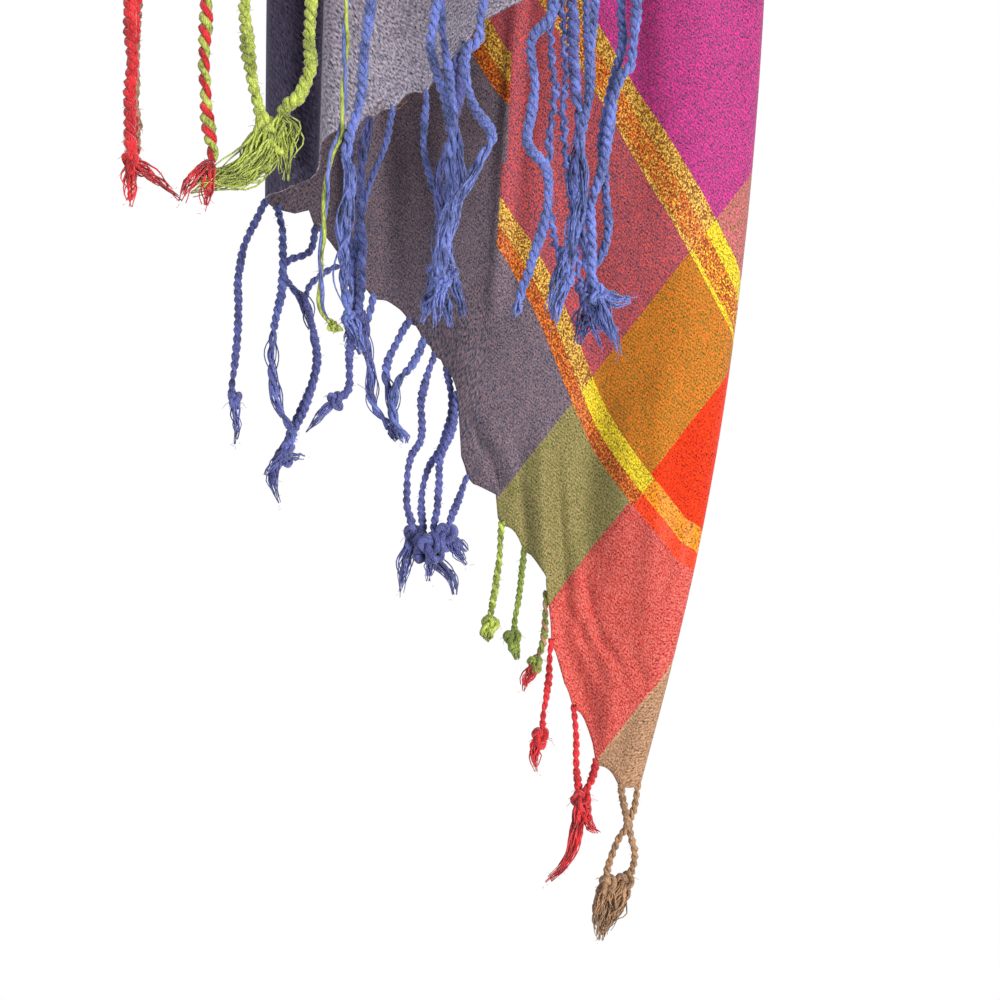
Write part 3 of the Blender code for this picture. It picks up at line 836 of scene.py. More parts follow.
# Strands of the long fringe by the layer that they hang from, as the camera sees them on the plane of the
# cloth: the yarns of the two plies, x and drop in mm from root to knot, and then those of each tail
longStrands = {
    0: (
        dict(yarns="red", width=4.9, knot=6.0,
             path=((-119, 1128), (-119, 1150), (-118, 1169), (-119, 1187), (-118, 1207)),
             tails=(((-119, 1216), (-119, 1224)), ((-108, 1213), (-99, 1221)))),
        dict(yarns="red", width=4.0, lift=5, knot=4.5,
             path=((-118, 1128), (-118, 1170), (-118, 1200)),
             tails=(((-118, 1208), (-118, 1216)),)),
        dict(yarns="tan", width=4.0, lift=9, knot=4.5,
             path=((-117, 1128), (-117, 1165), (-117, 1195)),
             tails=(((-117, 1203), (-117, 1212)),)),
        dict(yarns="red green", width=4.6, pitch=6.2, knot=0,
             path=((-91, 1128), (-92, 1169), (-91, 1191), (-89, 1202), (-90, 1207)),
             tails=(((-97, 1213), (-101, 1222)), ((-91, 1216), (-92, 1225)))),
        dict(yarns="green", width=5.2, mass=2.4, knot=7.5,
             path=((-77, 1128), (-77, 1160), (-73, 1184), (-70, 1194)),
             tails=(((-76, 1206), (-88, 1213), (-99, 1218)), ((-78, 1210), (-90, 1211), (-98, 1212)))),
        dict(yarns="green", width=5.2, mass=1.9, knot=8,
             path=((-53, 1128), (-54, 1160), (-54, 1173), (-58, 1182), (-63, 1187), (-66, 1198)),
             tails=(((-62, 1192), (-63, 1216)), ((-72, 1207), (-84, 1214)))),
        dict(yarns="green blue", width=2.6, pitch=26, knot=3.4,
             path=((-41, 1128), (-42, 1187), (-47, 1207), (-49, 1227), (-50, 1245), (-50, 1258),
                   (-46, 1265)),
             tails=(((-43, 1267), (-40, 1264)),)),
        dict(yarns="blue", width=4.3, loose=(0.5, 1.0), knot=4.5,
             path=((-30, 1128), (-34, 1162), (-36, 1184), (-41, 1202), (-39, 1211), (-41, 1227),
                   (-42, 1245), (-40, 1262)),
             tails=(((-37, 1268), (-34, 1277)),)),
        dict(yarns="blue", width=4.2, loose=(0.55, 1.0), knot=5.5,
             path=((-4, 1128), (-10, 1159), (-10, 1169), (-5, 1184), (-3, 1202), (-5, 1222), (-8, 1240),
                   (-9, 1252)),
             tails=(((-12, 1258), (-15, 1267)), ((-6, 1256), (-3, 1268)))),
        dict(yarns="blue", width=4.0, lift=-3, loose=(0.6, 1.0), knot=4.5,
             path=((10, 1128), (7, 1159), (2, 1166), (4, 1184), (11, 1196), (7, 1206), (-2, 1222),
                   (-6, 1238), (-6, 1250)),
             tails=(((-8, 1258), (-9, 1268)),)),
        dict(yarns="blue", width=3.6, lift=4, loose=(0.5, 1.0), knot=5.0,
             path=((-8, 1128), (-6, 1160), (-2, 1190), (-1, 1212), (-4, 1232), (-3, 1247)),
             tails=(((0, 1256), (2, 1264)),)),
        dict(yarns="blue", width=3.9, knot=0,
             path=((36, 1128), (34, 1150), (26, 1162), (27, 1180), (24, 1198), (31, 1209), (32, 1220),
                   (27, 1238), (21, 1257)),
             tails=(((20, 1260), (20, 1263)),)),
        dict(yarns="blue", width=3.9, lift=-3, loose=(0.6, 1.0), knot=4.8,
             path=((51, 1128), (47, 1169), (46, 1184), (43, 1202), (45, 1216), (41, 1234), (39, 1248)),
             tails=(((36, 1256), (34, 1267)),)),
        dict(yarns="blue", width=4.2, knot=5.5,
             path=((65, 1128), (62, 1166), (58, 1175), (54, 1191), (52, 1205), (47, 1223), (48, 1245),
                   (50, 1254)),
             tails=(((57, 1256), (66, 1255)), ((54, 1266), (58, 1277)))),
        dict(yarns="blue", width=3.6, lift=3, knot=4.5,
             path=((57, 1128), (58, 1148), (58, 1166), (55, 1177), (51, 1198), (53, 1220), (52, 1238),
                   (47, 1245), (48, 1256)),
             tails=(((52, 1264), (56, 1272)), ((49, 1262), (50, 1268)))),
    ),
    1: (
        dict(yarns="blue", width=3.0, knot=3.6,
             path=((-12, 1180), (-13, 1198), (-10, 1214), (-7, 1224), (-8, 1240)),
             tails=(((-9, 1246), (-10, 1254)),)),
        dict(yarns="indigo blue", width=3.0, knot=3.6,
             path=((-1, 1168), (-2, 1180), (-2, 1192), (-4, 1210), (-6, 1232)),
             tails=(((-6, 1240), (-5, 1248)),)),
        dict(yarns="indigo blue", width=3.4, pitch=5.0, knot=4.6,
             path=((-38, 1195), (-40, 1207), (-39, 1220), (-40, 1236), (-39, 1252), (-40, 1264)),
             tails=(((-38, 1270), (-35, 1278)),)),
        dict(yarns="indigo blue", width=3.4, pitch=5.0, lift=-2, loose=(0.0, 0.3), knot=4.0,
             path=((-32, 1189), (-35, 1202), (-36, 1220), (-35, 1236), (-36, 1252), (-36, 1262)),
             tails=(((-35, 1270), (-33, 1280)),)),
        dict(yarns="blue", width=2.6, lift=2, knot=3.6,
             path=((-24, 1184), (-27, 1200), (-33, 1216), (-37, 1232), (-38, 1250), (-38, 1262)),
             tails=(((-40, 1268), (-42, 1274)),)),
        dict(yarns="indigo blue", width=2.6, crinkle=0.6, knot=4.4,
             path=((32, 1146), (33, 1169), (34, 1180), (32, 1202), (32, 1220), (34, 1234), (38, 1249)),
             tails=(((34, 1256), (33, 1266)),)),
        dict(yarns="indigo blue", width=2.6, crinkle=0.6, knot=4.8,
             path=((36, 1144), (38, 1173), (37, 1187), (38, 1202), (40, 1220), (42, 1241), (44, 1252)),
             tails=(((48, 1266), (52, 1276)),)),
        dict(yarns="blue", width=3.0, knot=4.4,
             path=((45, 1144), (46, 1166), (46, 1184), (43, 1202), (41, 1222), (38, 1240)),
             tails=(((34, 1250), (31, 1262)),)),
        dict(yarns="indigo blue", width=4.6, loose=(0.35, 1.0), mass=1.8, knot=6.2,
             path=((40, 1144), (41, 1170), (43, 1196), (41, 1214), (44, 1232), (47, 1250), (46, 1258)),
             tails=(((50, 1262), (58, 1268)), ((44, 1266), (42, 1274)))),
        dict(yarns="indigo", width=3.6, loose=(0.4, 1.0), mass=1.4, knot=5.4,
             path=((2, 1162), (0, 1180), (-3, 1196), (-8, 1212), (-6, 1230), (-9, 1246)),
             tails=(((-10, 1254), (-13, 1262)),)),
    ),
    2: (
        dict(yarns="indigo", width=3.0, knot=4.8,
             path=((-76, 1220), (-79, 1241), (-80, 1267), (-82, 1288), (-81, 1292)),
             tails=(((-80, 1302), (-81, 1310)),)),
        dict(yarns="indigo blue", width=3.2, loose=(0.5, 0.95), knot=4.2,
             path=((-66, 1220), (-64, 1231), (-64, 1249), (-67, 1267), (-68, 1277), (-66, 1292),
                   (-61, 1303), (-62, 1310)),
             tails=(((-68, 1316), (-71, 1321)),)),
        dict(yarns="indigo", width=2.8, loose=(0.3, 0.55), knot=5.6,
             path=((-52, 1230), (-54, 1238), (-62, 1242), (-63, 1248), (-55, 1259), (-52, 1279),
                   (-56, 1292), (-61, 1303), (-63, 1312)),
             tails=(((-68, 1320), (-64, 1331)), ((-58, 1312), (-54, 1313)))),
        dict(yarns="indigo", width=2.6, lift=-2, knot=4.0,
             path=((-41, 1240), (-47, 1245), (-55, 1252), (-54, 1262), (-51, 1279), (-55, 1293),
                   (-61, 1305)),
             tails=(((-66, 1314), (-66, 1326)),)),
        dict(yarns="indigo", width=3.2, pitch=4.6, knot=5.0,
             path=((-37, 1250), (-39, 1267), (-40, 1280), (-40, 1288), (-45, 1292)),
             tails=(((-50, 1297), (-56, 1304)),)),
        dict(yarns="indigo blue", width=3.4, loose=(0.2, 1.0), knot=0,
             path=((-31, 1254), (-34, 1268), (-32, 1281), (-32, 1292), (-25, 1302)),
             tails=(((-23, 1306), (-21, 1308)),)),
        dict(yarns="indigo blue", width=3.2, loose=(0.5, 1.0), knot=0,
             path=((-18, 1265), (-23, 1272), (-27, 1281), (-25, 1292), (-24, 1301)),
             tails=(((-22, 1305), (-22, 1308)),)),
        dict(yarns="blue", width=3.4, loose=(0.4, 1.0), knot=0,
             path=((-13, 1272), (-17, 1279), (-22, 1285), (-24, 1295), (-22, 1303)),
             tails=(((-20, 1306), (-20, 1309)),)),
        dict(yarns="indigo", width=3.0, pitch=4.4, mass=1.7, knot=6.6,
             path=((-9, 1277), (-12, 1284), (-14, 1292), (-14, 1306), (-18, 1313), (-19, 1328),
                   (-17, 1341)),
             tails=(((-20, 1352), (-22, 1364)),)),
        dict(yarns="indigo", width=3.0, pitch=4.4, lift=-2, mass=1.7, knot=8.2,
             path=((-1, 1290), (-3, 1303), (-7, 1313), (-8, 1328), (-10, 1345)),
             tails=(((-11, 1354), (-11, 1359)),)),
        dict(yarns="indigo", width=2.8, pitch=4.4, lift=1, mass=1.7, knot=8.0,
             path=((-5, 1280), (-3, 1292), (-6, 1306), (-12, 1318), (-14, 1330), (-13, 1345)),
             tails=(((-9, 1350), (-3, 1356), (-2, 1364)),)),
        dict(yarns="indigo", width=2.8, pitch=4.4, lift=-1, mass=1.7, knot=7.3,
             path=((3, 1324), (-2, 1331), (-5, 1341)),
             tails=(((0, 1344), (3, 1347)), ((0, 1348), (3, 1352)))),
        dict(yarns="green olive", width=2.7, pitch=4.4, mass=1.7, knot=5.6,
             path=((15, 1335), (14, 1349), (12, 1364), (10.5, 1373)),
             tails=(((10, 1377), (8, 1380)),)),
        dict(yarns="olive", width=2.6, pitch=4.4, mass=1.7, knot=5.9,
             path=((23, 1348), (21, 1364), (19, 1378)),
             tails=(((20, 1383), (21, 1387)),)),
        dict(yarns="olive tan", width=2.7, pitch=4.6, mass=1.7, tipYarn="red", knot=4.8,
             path=((31, 1364), (30, 1378), (27, 1387)),
             tails=(((24, 1392), (22, 1398)),)),
        dict(yarns="red", width=2.6, mass=1.7, knot=5.9,
             path=((33, 1385), (31, 1400), (29, 1413)),
             tails=(((27, 1419), (28, 1427)),)),
        dict(yarns="red", width=2.8, mass=1.7, knot=6.4,
             path=((41, 1402), (42, 1414), (42, 1430), (44, 1437)),
             tails=(((42, 1448), (38, 1459), (29, 1467)), ((47, 1445), (51, 1448)))),
        dict(yarns="red", width=2.8, lift=-1, mass=1.7, knot=5.6,
             path=((49, 1418), (47, 1429), (44, 1435)),
             tails=(((42, 1446), (39, 1456), (34, 1464)),)),
        dict(yarns="tan", width=2.9, pitch=4.4, mass=3.6, knot=6.2,
             path=((58, 1429), (59, 1438), (60, 1445), (57, 1450), (53, 1461), (53, 1466)),
             tails=(((51, 1477), (50, 1488)),)),
        dict(yarns="tan", width=2.9, pitch=4.4, lift=-1, mass=3.6, knot=6.2,
             path=((64, 1430), (63, 1438), (61, 1445), (63, 1457), (59, 1466)),
             tails=(((55, 1476), (51, 1486)),)),
    ),
}
strandLook = dict(
    pitch=4.8, step=0.75, curveStep=0.3, plyRadius=0.42, rootRise=1.2, clearOfRoot=1.5,
    fibres=19.2, fibreRadius=0.17, fibreStep=2,
)
# the plies' own unevenness, and how much thinner and slacker they are where they have opened
plyLook = dict(
    spread=0.25, radius=0.27, lump=0.34, lumpRate=0.09, openRadius=0.82, openTurn=0.45, turnWander=0.3,
    sway=0.5, swayRate=0.12, lean=0.3, crinkleTurn=1.9, crinklePhase=0.8, crinkleWander=5,
)
# an opened strand's fibres: how far they stray from it at their ends and midway, and their thickness
fluffLook = dict(
    count=15, near=0.279, far=0.465, stray=1.9, strayRate=0.05, thick=1.5, uneven=0.8, unevenRate=0.1,
)
knotLook = dict(
    size=4.6, loops=3, steps=44, lean=0.35, tilt=0.5, grow=(0.78, 1.1), radius=(0.13, 0.18),
    narrow=0.66, deep=0.9, apart=0.8,
    strays=9, strayRise=(-0.9, 0.9), strayFrom=0.3, strayLength=(0.25, 0.45), strayTip=1.4,
    strayFall=(0.2, 1.6), strayRadii=(0.1, 0.08, 0.05),
)
# a tail's fibres: how far it bulges, how far apart they lie, how they curl and how they thin to the tip
tailLook = dict(
    wider=1.05, massPower=0.6, reach=(0.6, 1.0), neck=0.3, bulge=0.8, bulgeSpan=0.8, bulgeFrom=0.12,
    apart=0.8, curl=0.9, curlRate=2.4, thick=2.3, taper=1.5,
)
fuzzLook = dict(
    perMm=0.7, length=1.9, shortest=0.3, radius=0.055, tipRadius=0.5, root=0.3,
    lean=(-0.6, 0.9), bend=0.6, tipLean=(-0.5, 0.5), tipOut=0.6, tip=0.5,
)
anyAngle = (0, 6.28)
anySeed = (0, 500)
looseThreads = (
    dict(yarn="tan", layer=1, radius=0.13, lift=-1.2,
         path=((-33, 1191), (-28, 1184), (-23, 1181), (-20, 1182), (-21, 1186), (-25, 1188))),
    dict(yarn="tan", layer=1, radius=0.1, lift=-1.6,
         path=((-31, 1190), (-25, 1185), (-20, 1185), (-17, 1182), (-14, 1183))),
    dict(yarn="indigo", layer=2, radius=0.1, lift=-1.0,
         path=((-37, 1286), (-34, 1288), (-31, 1291), (-30, 1294))),
)


def rootShare(layer, x):
    # the share along the layer's hem that the camera sees at x
    low, high = (-1.0, 2.0)
    rising = seen(hemPoint(layer, high))[0] > seen(hemPoint(layer, low))[0]
    for _ in range(24):
        centre = (low + high) / 2
        if (seen(hemPoint(layer, centre))[0] < x * mm) == rising:
            low = centre
        else:
            high = centre
    return (low + high) / 2


def smoothLine(points, step):
    # a Catmull-Rom curve through the points, walked in even steps
    ends = [points[0] * 2 - points[1]] + list(points) + [points[-1] * 2 - points[-2]]
    dense = []
    for a, b, c, d in zip(ends, ends[1:], ends[2:], ends[3:]):
        pieces = max(int((c - b).length / (strandLook["curveStep"] * mm)), 2)
        for k in range(pieces):
            t = k / pieces
            dense.append(0.5 * (2 * b + (c - a) * t + (2 * a - 5 * b + 4 * c - d) * t * t
                                + (3 * b - a - 3 * c + d) * t ** 3))
    dense.append(points[-1])
    line = [dense[0]]
    for point in dense:
        if (point - line[-1]).length >= step:
            line.append(point)
    return line


class Yarns:
    # curves for each colour of yarn, with six sides for plies and four for fibres, and a mesh in the end
    def __init__(self, prefix):
        self.prefix = prefix
        self.curves = {}

    def curveFor(self, key, thick):
        name = self.prefix + key.capitalize()
        pair = self.curves.setdefault(key, {})
        if thick not in pair:
            curve = bpy.data.curves.new(name, "CURVE")
            curve.dimensions = "3D"
            curve.bevel_depth = 1.0
            curve.bevel_resolution = 1 if thick else 0
            curve.use_fill_caps = thick
            pair[thick] = curve
        return pair[thick]

    def add(self, key, points, radii):
        spline = self.curveFor(key, max(radii) > strandLook["plyRadius"] * mm).splines.new("POLY")
        spline.points.add(len(points) - 1)
        spline.points.foreach_set("co", [value for point in points for value in (*point, 1)])
        spline.points.foreach_set("radius", radii)

    def finished(self, node):
        pieces = []
        for key, pair in self.curves.items():
            name = self.prefix + key.capitalize()
            shape = bmesh.new()
            for curve in pair.values():
                holder = bpy.data.objects.new(name, curve)
                bpy.context.scene.collection.objects.link(holder)
                graph = bpy.context.evaluated_depsgraph_get()
                shape.from_mesh(bpy.data.meshes.new_from_object(holder.evaluated_get(graph)))
                bpy.data.objects.remove(holder)
            bmesh.ops.holes_fill(shape, edges=[edge for edge in shape.edges if edge.is_boundary])
            bmesh.ops.recalc_face_normals(shape, faces=shape.faces)
            piece = makePiece(name, shape, [yarnMaterials[key]])
            piece.data.shade_smooth()
            pieces.append(standFor(piece, node))
            print(name, len(piece.data.polygons), "faces")
        return pieces


def acrossAt(line, index):
    ahead = line[min(index + 1, len(line) - 1)]
    before = line[max(index - 1, 0)]
    along = (ahead - before).normalized()
    side = along.cross(Vector((0, 1, 0))).normalized()
    return along, side, side.cross(along)


def wander(seed, along, lane=0):
    return noise.noise(Vector((seed, along, lane)))


def twistStrand(yarns, line, keys, width, pitch, loose, crinkle, draw):
    # two plies wound round each other, uneven in thickness, with a fluffy cover where they have opened
    start, end = loose
    phase = draw.uniform(*anyAngle)
    seed = draw.uniform(*anySeed)
    step = strandLook["step"]
    for ply in range(2):
        points, radii = [], []
        turn = phase + ply * math.pi
        for index, centre in enumerate(line):
            _, side, out = acrossAt(line, index)
            opened = start < index / max(len(line) - 1, 1) < end
            uneven = wander(seed, index * plyLook["lumpRate"])
            lump = 1 + plyLook["lump"] * uneven
            spread = width * mm * plyLook["spread"] * lump
            offset = side * math.cos(turn) * spread + out * math.sin(turn) * spread
            sway = wander(seed + 9, index * plyLook["swayRate"]) * plyLook["sway"]
            offset += side * (sway + uneven * plyLook["lean"]) * mm
            if crinkle:
                bend = index * step * plyLook["crinkleTurn"] + ply * plyLook["crinklePhase"]
                bend = math.sin(bend + uneven * plyLook["crinkleWander"])
                offset += side * crinkle * mm * bend
            points.append(centre + offset)
            radii.append(width * mm * plyLook["radius"] * lump * (plyLook["openRadius"] if opened else 1.0))
            wound = plyLook["openTurn"] if opened else 1 + plyLook["turnWander"] * uneven
            turn += 2 * math.pi * step / pitch * wound
        yarns.add(keys[ply % len(keys)], points, radii)
    if end > start:
        first, last = int(start * (len(line) - 1)), int(end * (len(line) - 1))
        fluff(yarns, keys[0], line[first:last + 1], width, draw)


def fluff(yarns, key, line, width, draw):
    # loose fibres that wander round the strand
    if len(line) < 6:
        return
    for _ in range(fluffLook["count"]):
        seed = draw.uniform(*anySeed)
        first = draw.randrange(0, len(line) // 3)
        last = draw.randrange(len(line) * 2 // 3, len(line))
        points, radii = [], []
        for index in range(first, last, strandLook["fibreStep"]):
            _, side, out = acrossAt(line, index)
            share = (index - first) / (last - first)
            swell = fluffLook["near"] + fluffLook["far"] * math.sin(math.pi * share)
            across = wander(seed, index * fluffLook["strayRate"]) * fluffLook["stray"]
            through = wander(seed, index * fluffLook["strayRate"], 8) * fluffLook["stray"]
            points.append(line[index] + (side * across + out * through) * width * mm * swell)
            uneven = fluffLook["uneven"] * wander(seed, index * fluffLook["unevenRate"], 3)
            radii.append(strandLook["fibreRadius"] * mm * (fluffLook["thick"] + uneven))
        if len(points) > 2:
            yarns.add(key, points, radii)


def tieKnot(yarns, key, centre, size, draw):
    # an overhand knot pulled tight, in uneven strands of the yarn, with a few stray fibres
    tilt = draw.uniform(-knotLook["tilt"], knotLook["tilt"])
    scale = size * mm / knotLook["size"]
    steps = knotLook["steps"]
    for loop in range(knotLook["loops"]):
        points = []
        turnBy = draw.uniform(*anyAngle)
        lean = tilt + draw.uniform(-knotLook["lean"], knotLook["lean"])
        grow = draw.uniform(*knotLook["grow"])
        for k in range(steps + 1):
            t = 2 * math.pi * k / steps + turnBy
            x = (math.sin(t) + 2 * math.sin(2 * t)) * knotLook["narrow"] * grow
            z = (math.cos(t) - 2 * math.cos(2 * t)) * grow
            y = -math.sin(3 * t) * knotLook["deep"] + (loop - 1) * knotLook["apart"]
            across = x * math.cos(lean) - z * math.sin(lean)
            points.append(centre + Vector((across, y, z * math.cos(lean) + x * math.sin(lean))) * scale)
        yarns.add(key, points, [size * mm * draw.uniform(*knotLook["radius"])] * len(points))
    for _ in range(knotLook["strays"]):
        angle, rise = draw.uniform(*anyAngle), draw.uniform(*knotLook["strayRise"])
        out = Vector((math.cos(angle), math.sin(angle), rise)).normalized()
        start = centre + out * size * mm * knotLook["strayFrom"]
        bend = out * size * mm * draw.uniform(*knotLook["strayLength"])
        drop = Vector((draw.uniform(-1, 1), 0, -draw.uniform(*knotLook["strayFall"]))) * mm
        radii = [radius * mm for radius in knotLook["strayRadii"]]
        yarns.add(key, [start, start + bend, start + bend * knotLook["strayTip"] + drop], radii)


def frayTail(yarns, key, line, width, draw, count):
    # loose fibres that spread and curl towards the tip
    for _ in range(count):
        seed = draw.uniform(*anySeed)
        lane = draw.uniform(-1, 1)
        rank = draw.uniform(-1, 1)
        reach = draw.uniform(*tailLook["reach"])
        kept = line[:max(int(len(line) * reach), 3)]
        points, radii = [], []
        for index, centre in list(enumerate(kept))[::strandLook["fibreStep"]]:
            share = index / (len(kept) - 1)
            _, side, out = acrossAt(kept, index)
            along = min(share * tailLook["bulgeSpan"] + tailLook["bulgeFrom"], 1)
            bulge = tailLook["neck"] + tailLook["bulge"] * math.sin(math.pi * along)
            curled = share * tailLook["curlRate"]
            across = lane * tailLook["apart"] + wander(seed, curled) * tailLook["curl"]
            through = rank * tailLook["apart"] + wander(seed, curled, 5) * tailLook["curl"]
            points.append(centre + (side * across + out * through) * width / 2 * mm * bulge)
            radii.append(strandLook["fibreRadius"] * mm * (tailLook["thick"] - tailLook["taper"] * share))
        yarns.add(key, points, radii)


def fuzz(yarns, key, line, width, draw):
    # short stray fibres along a strand
    for _ in range(int(len(line) * strandLook["step"] * fuzzLook["perMm"])):
        index = draw.randrange(1, len(line))
        along, side, out = acrossAt(line, index)
        angle = draw.uniform(*anyAngle)
        outward = side * math.cos(angle) + out * math.sin(angle)
        lean = along * draw.uniform(*fuzzLook["lean"])
        length = draw.uniform(fuzzLook["shortest"], 1.0) * fuzzLook["length"] * mm
        start = line[index] + outward * width * mm * fuzzLook["root"]
        bend = (outward + lean) * length * fuzzLook["bend"]
        tip = along * draw.uniform(*fuzzLook["tipLean"]) + outward * fuzzLook["tipOut"]
        tip = bend + tip * length * fuzzLook["tip"]
        radius = fuzzLook["radius"] * mm
        yarns.add(key, [start, start + bend, start + tip], [radius, radius, radius * fuzzLook["tipRadius"]])


def layThread(yarns, row):
    depth = hemPoint(row["layer"], rootShare(row["layer"], row["path"][0][0])).y + row["lift"] * mm
    line = smoothLine([behind(x * mm, drop * mm, depth) for x, drop in row["path"]], 0.5 * mm)
    yarns.add(row["yarn"], line, [row["radius"] * mm] * len(line))


def layLongStrand(yarns, layer, row, number):
    draw = random.Random(70 + number)
    share = rootShare(layer, row["path"][0][0])
    root = hemPoint(layer, share)
    depth = root.y + row.get("lift", 0) * mm
    nearness = (view["distance"] + depth) / view["distance"]
    root = root + Vector((0, 0, strandLook["rootRise"] * mm))
    spots = [root]
    for x, drop in row["path"][1:]:
        if drop * mm > seen(root)[1] + strandLook["clearOfRoot"] * mm:
            spots.append(behind(x * mm, drop * mm, depth))
    step = strandLook["step"] * mm
    line = smoothLine(spots, step)
    width = row["width"] * nearness
    keys = row["yarns"].split()
    pitch = row.get("pitch", strandLook["pitch"])
    twistStrand(yarns, line, keys, width, pitch, row.get("loose", (1, 0)), row.get("crinkle", 0), draw)
    fuzz(yarns, keys[0], line, width, draw)
    end = line[-1]
    if row["knot"]:
        tieKnot(yarns, keys[0], end, row["knot"] * nearness, draw)
    mass = row.get("mass", 1.0)
    tipKey = row.get("tipYarn", keys[0])
    for tail in row["tails"]:
        points = [end] + [behind(x * mm, drop * mm, depth + draw.uniform(-1, 1) * mm) for x, drop in tail]
        tailLine = smoothLine(points, step)
        fibres = int(strandLook["fibres"] * mass)
        wide = width * tailLook["wider"] * mass ** tailLook["massPower"]
        frayTail(yarns, tipKey, tailLine, wide, draw, fibres)
        fuzz(yarns, tipKey, tailLine, width, draw)
    return share


# The short tail's fringe, out of the photo: even knotted strands, coloured as the warp stripes
shortFringe = dict(
    strands=46, drop=84, tail=13, width=3.0, pitch=6.2, knot=4.6, margin=4, fibres=6,
    spots=(0, 0.15, 0.4, 0.7, 1.0), sway=2, swayTurn=1.7, uneven=0.6, coarse=1.3, tailStep=1.5,
    edgeSteps=40, turnSteps=8,
)


def shortEdge():
    line = []
    for layer in range(*shortTail):
        for k in range(shortFringe["edgeSteps"] + 1):
            share = k / shortFringe["edgeSteps"]
            hem = hemDrop(layer, share)
            line.append((layer, onLayer(layer, share, hem), cutAt(layer, 0, share, hem, hem).x))
        if layer + 1 < shortTail[1]:
            foot = folds[layer + 1]["drop"] * mm
            steps = shortFringe["turnSteps"]
            for k in range(1, steps):
                angle = blend(-math.pi / 2, math.pi / 2, k / steps)
                place = onTurn(layer + 1, angle, foot)
                line.append((layer + 2 * k // steps, place, folds[layer + 1]["cut"][0]))
    return line


def layShortFringe(yarns):
    draw = random.Random(9)
    edge = shortEdge()
    reach = [0.0]
    for (_, a, _), (_, b, _) in zip(edge, edge[1:]):
        reach.append(reach[-1] + (b - a).length)
    for number in range(shortFringe["strands"]):
        goal = blend(shortFringe["margin"] * mm, reach[-1] - shortFringe["margin"] * mm,
                     number / (shortFringe["strands"] - 1))
        index = next(k for k in range(len(reach)) if reach[k] >= goal)
        layer, root, across = edge[index]
        key = [name for name, start in warpStripes if across >= start][-1]
        key = "indigo" if key == "blue" else "olive" if key == "green" else key
        top = -root.z
        spots = []
        for share in shortFringe["spots"]:
            drop = top + shortFringe["drop"] * mm * share
            sway = shortFringe["sway"] * mm * math.sin(shortFringe["swayTurn"] * number) * share
            depth = placed(root.x, layerDepth(layer, drop), drop).y
            depth += draw.uniform(-shortFringe["uneven"], shortFringe["uneven"]) * mm
            rise = 0 if share else strandLook["rootRise"] * mm
            spots.append(Vector((root.x + sway, depth, rise - drop)))
        line = smoothLine(spots, strandLook["step"] * mm * shortFringe["coarse"])
        twistStrand(yarns, line, [key], shortFringe["width"], shortFringe["pitch"], (1, 0), 0, draw)
        tieKnot(yarns, key, line[-1], shortFringe["knot"], draw)
        tip = line[-1] + Vector((draw.uniform(-1, 1) * mm, 0, -shortFringe["tail"] * mm))
        tail = smoothLine([line[-1], tip], shortFringe["tailStep"] * mm)
        frayTail(yarns, key, tail, shortFringe["width"], draw, shortFringe["fibres"])


lights = (
    dict(name="key", place=(0.86, -1.04, -1.45), size=0.5, power=18.8),
    dict(name="fill", place=(-1.1, -0.9, -1.1), size=1.2, power=4.6, colour=(0.84, 0.91, 1.0)),
    dict(name="rear", place=(0.4, 1.6, -0.3), size=1.2, power=9.0),
)
ambient = dict(strength=0.45, colour=(0.92, 0.95, 1.0))
floorLook = dict(drop=1.75, size=0.9, colour=(0.86, 0.86, 0.86), otherColour=(0.9, 0.9, 0.9))


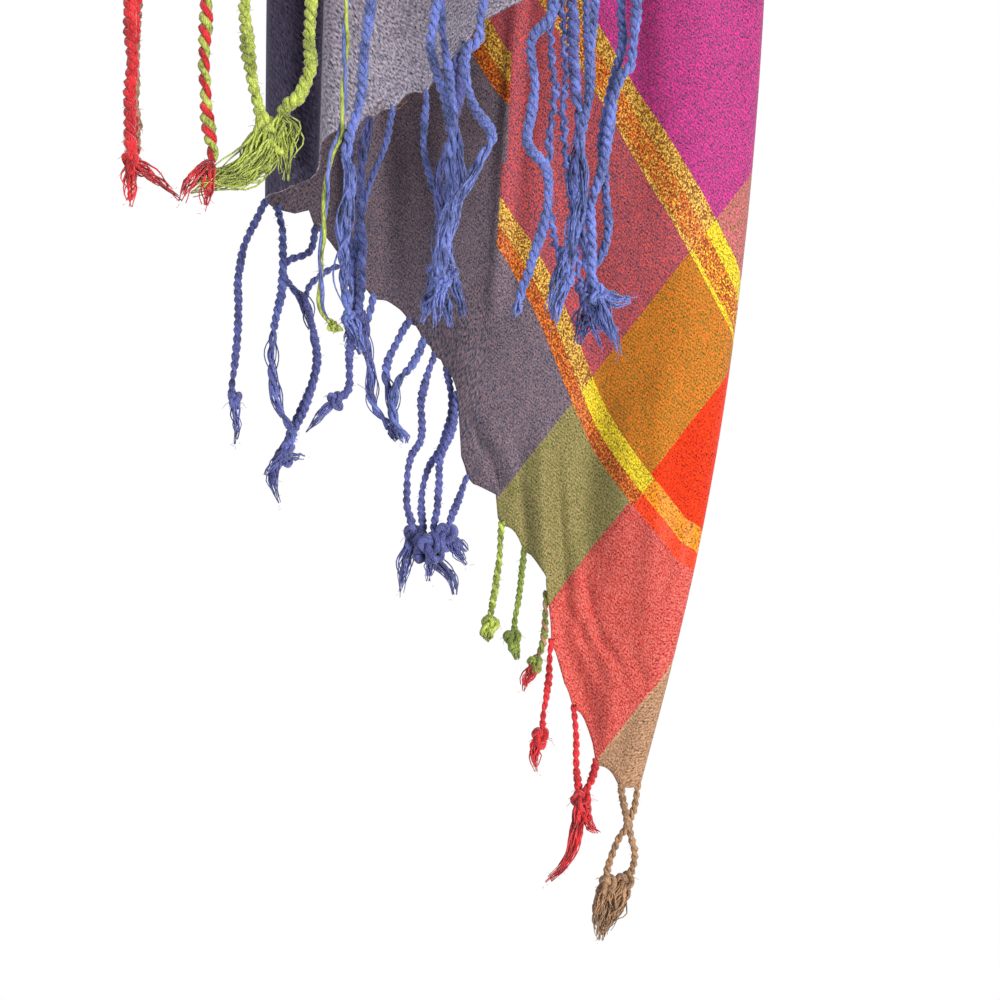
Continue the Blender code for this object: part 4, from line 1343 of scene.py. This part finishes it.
def makeLights():
    target = Vector((0, 0, -view["drop"]))
    for row in lights:
        data = bpy.data.lights.new(row["name"], "AREA")
        data.size = row["size"]
        data.energy = row["power"]
        light = bpy.data.objects.new(row["name"], data)
        data.color = row.get("colour", (1, 1, 1))
        light.location = row["place"]
        light.rotation_euler = (target - light.location).to_track_quat("-Z", "Y").to_euler()
        bpy.context.scene.collection.objects.link(light)
    world = bpy.data.worlds.new("studio")
    world.use_nodes = True
    nodes, links = world.node_tree.nodes, world.node_tree.links
    soft = nodes["Background"]
    soft.inputs["Color"].default_value = (*ambient["colour"], 1)
    soft.inputs["Strength"].default_value = ambient["strength"]
    white = nodes.new("ShaderNodeBackground")
    white.inputs["Color"].default_value = (1, 1, 1, 1)
    path = nodes.new("ShaderNodeLightPath")
    both = nodes.new("ShaderNodeMixShader")
    links.new(path.outputs["Is Camera Ray"], both.inputs[0])
    links.new(soft.outputs[0], both.inputs[1])
    links.new(white.outputs[0], both.inputs[2])
    links.new(both.outputs[0], nodes["World Output"].inputs["Surface"])
    bpy.context.scene.world = world
    bpy.context.scene.view_settings.view_transform = "Standard"


def makeFloor():
    finish = Finish("floorPaint", roughness=0.9)
    blotches = finish.grain(finish.place(), 3.0)
    finish.paint("Base Color", finish.mix(blotches, floorLook["colour"], floorLook["otherColour"]))
    shape = bmesh.new()
    bmesh.ops.create_grid(shape, x_segments=2, y_segments=2, size=floorLook["size"] / 2)
    bmesh.ops.translate(shape, verts=shape.verts, vec=(0, 0, -floorLook["drop"]))
    makePiece("floor", shape, [finish.material])


makeCamera()
makeLights()
makeFloor()
print("stage ready")

faceCloth = wovenFinish("clothFace")
backCloth = wovenFinish("clothReverse", reverseTint)
# the third finish is painted shade, for the deep fold at the second layer's left
paintedShadeCloth = wovenFinish("clothPaintedShade", paintedShadeTint)
yarnMaterials = {key: yarnFinish(key) for key in yarnColours}
print("finishes ready")

longYarns = Yarns("longFringe")
roots = {}
for number, (layer, row) in enumerate((layer, row) for layer in longStrands for row in longStrands[layer]):
    roots.setdefault(layer, []).append(layLongStrand(longYarns, layer, row, number))
for row in looseThreads:
    layThread(longYarns, row)
longFringe = longYarns.finished("long_tail_fringe")
shortYarns = Yarns("shortFringe")
layShortFringe(shortYarns)
shortFringes = shortYarns.finished("short_tail_fringe")
print("fringes ready")

longRows = rowsTo(dense=135, coarse=50, from_=0.79)
plainRows = rowsTo(dense=60, coarse=50, from_=0.6)
longCloth = makeCloth("longTailCloth", "long_tail_cloth", longTail, (30, 54, 100, 28), longRows, roots,
                      (faceCloth, backCloth, paintedShadeCloth))
middleCloth = makeCloth("middleCloth", "middle_cloth", middle, (28,) * 7, plainRows, {},
                        (faceCloth, backCloth), 6)
shortCloth = makeCloth("shortTailCloth", "short_tail_cloth", shortTail, (34,) * 3, plainRows, {},
                       (faceCloth, backCloth), 6)
topCloth = makeTop((faceCloth, backCloth))
print("cloth ready")
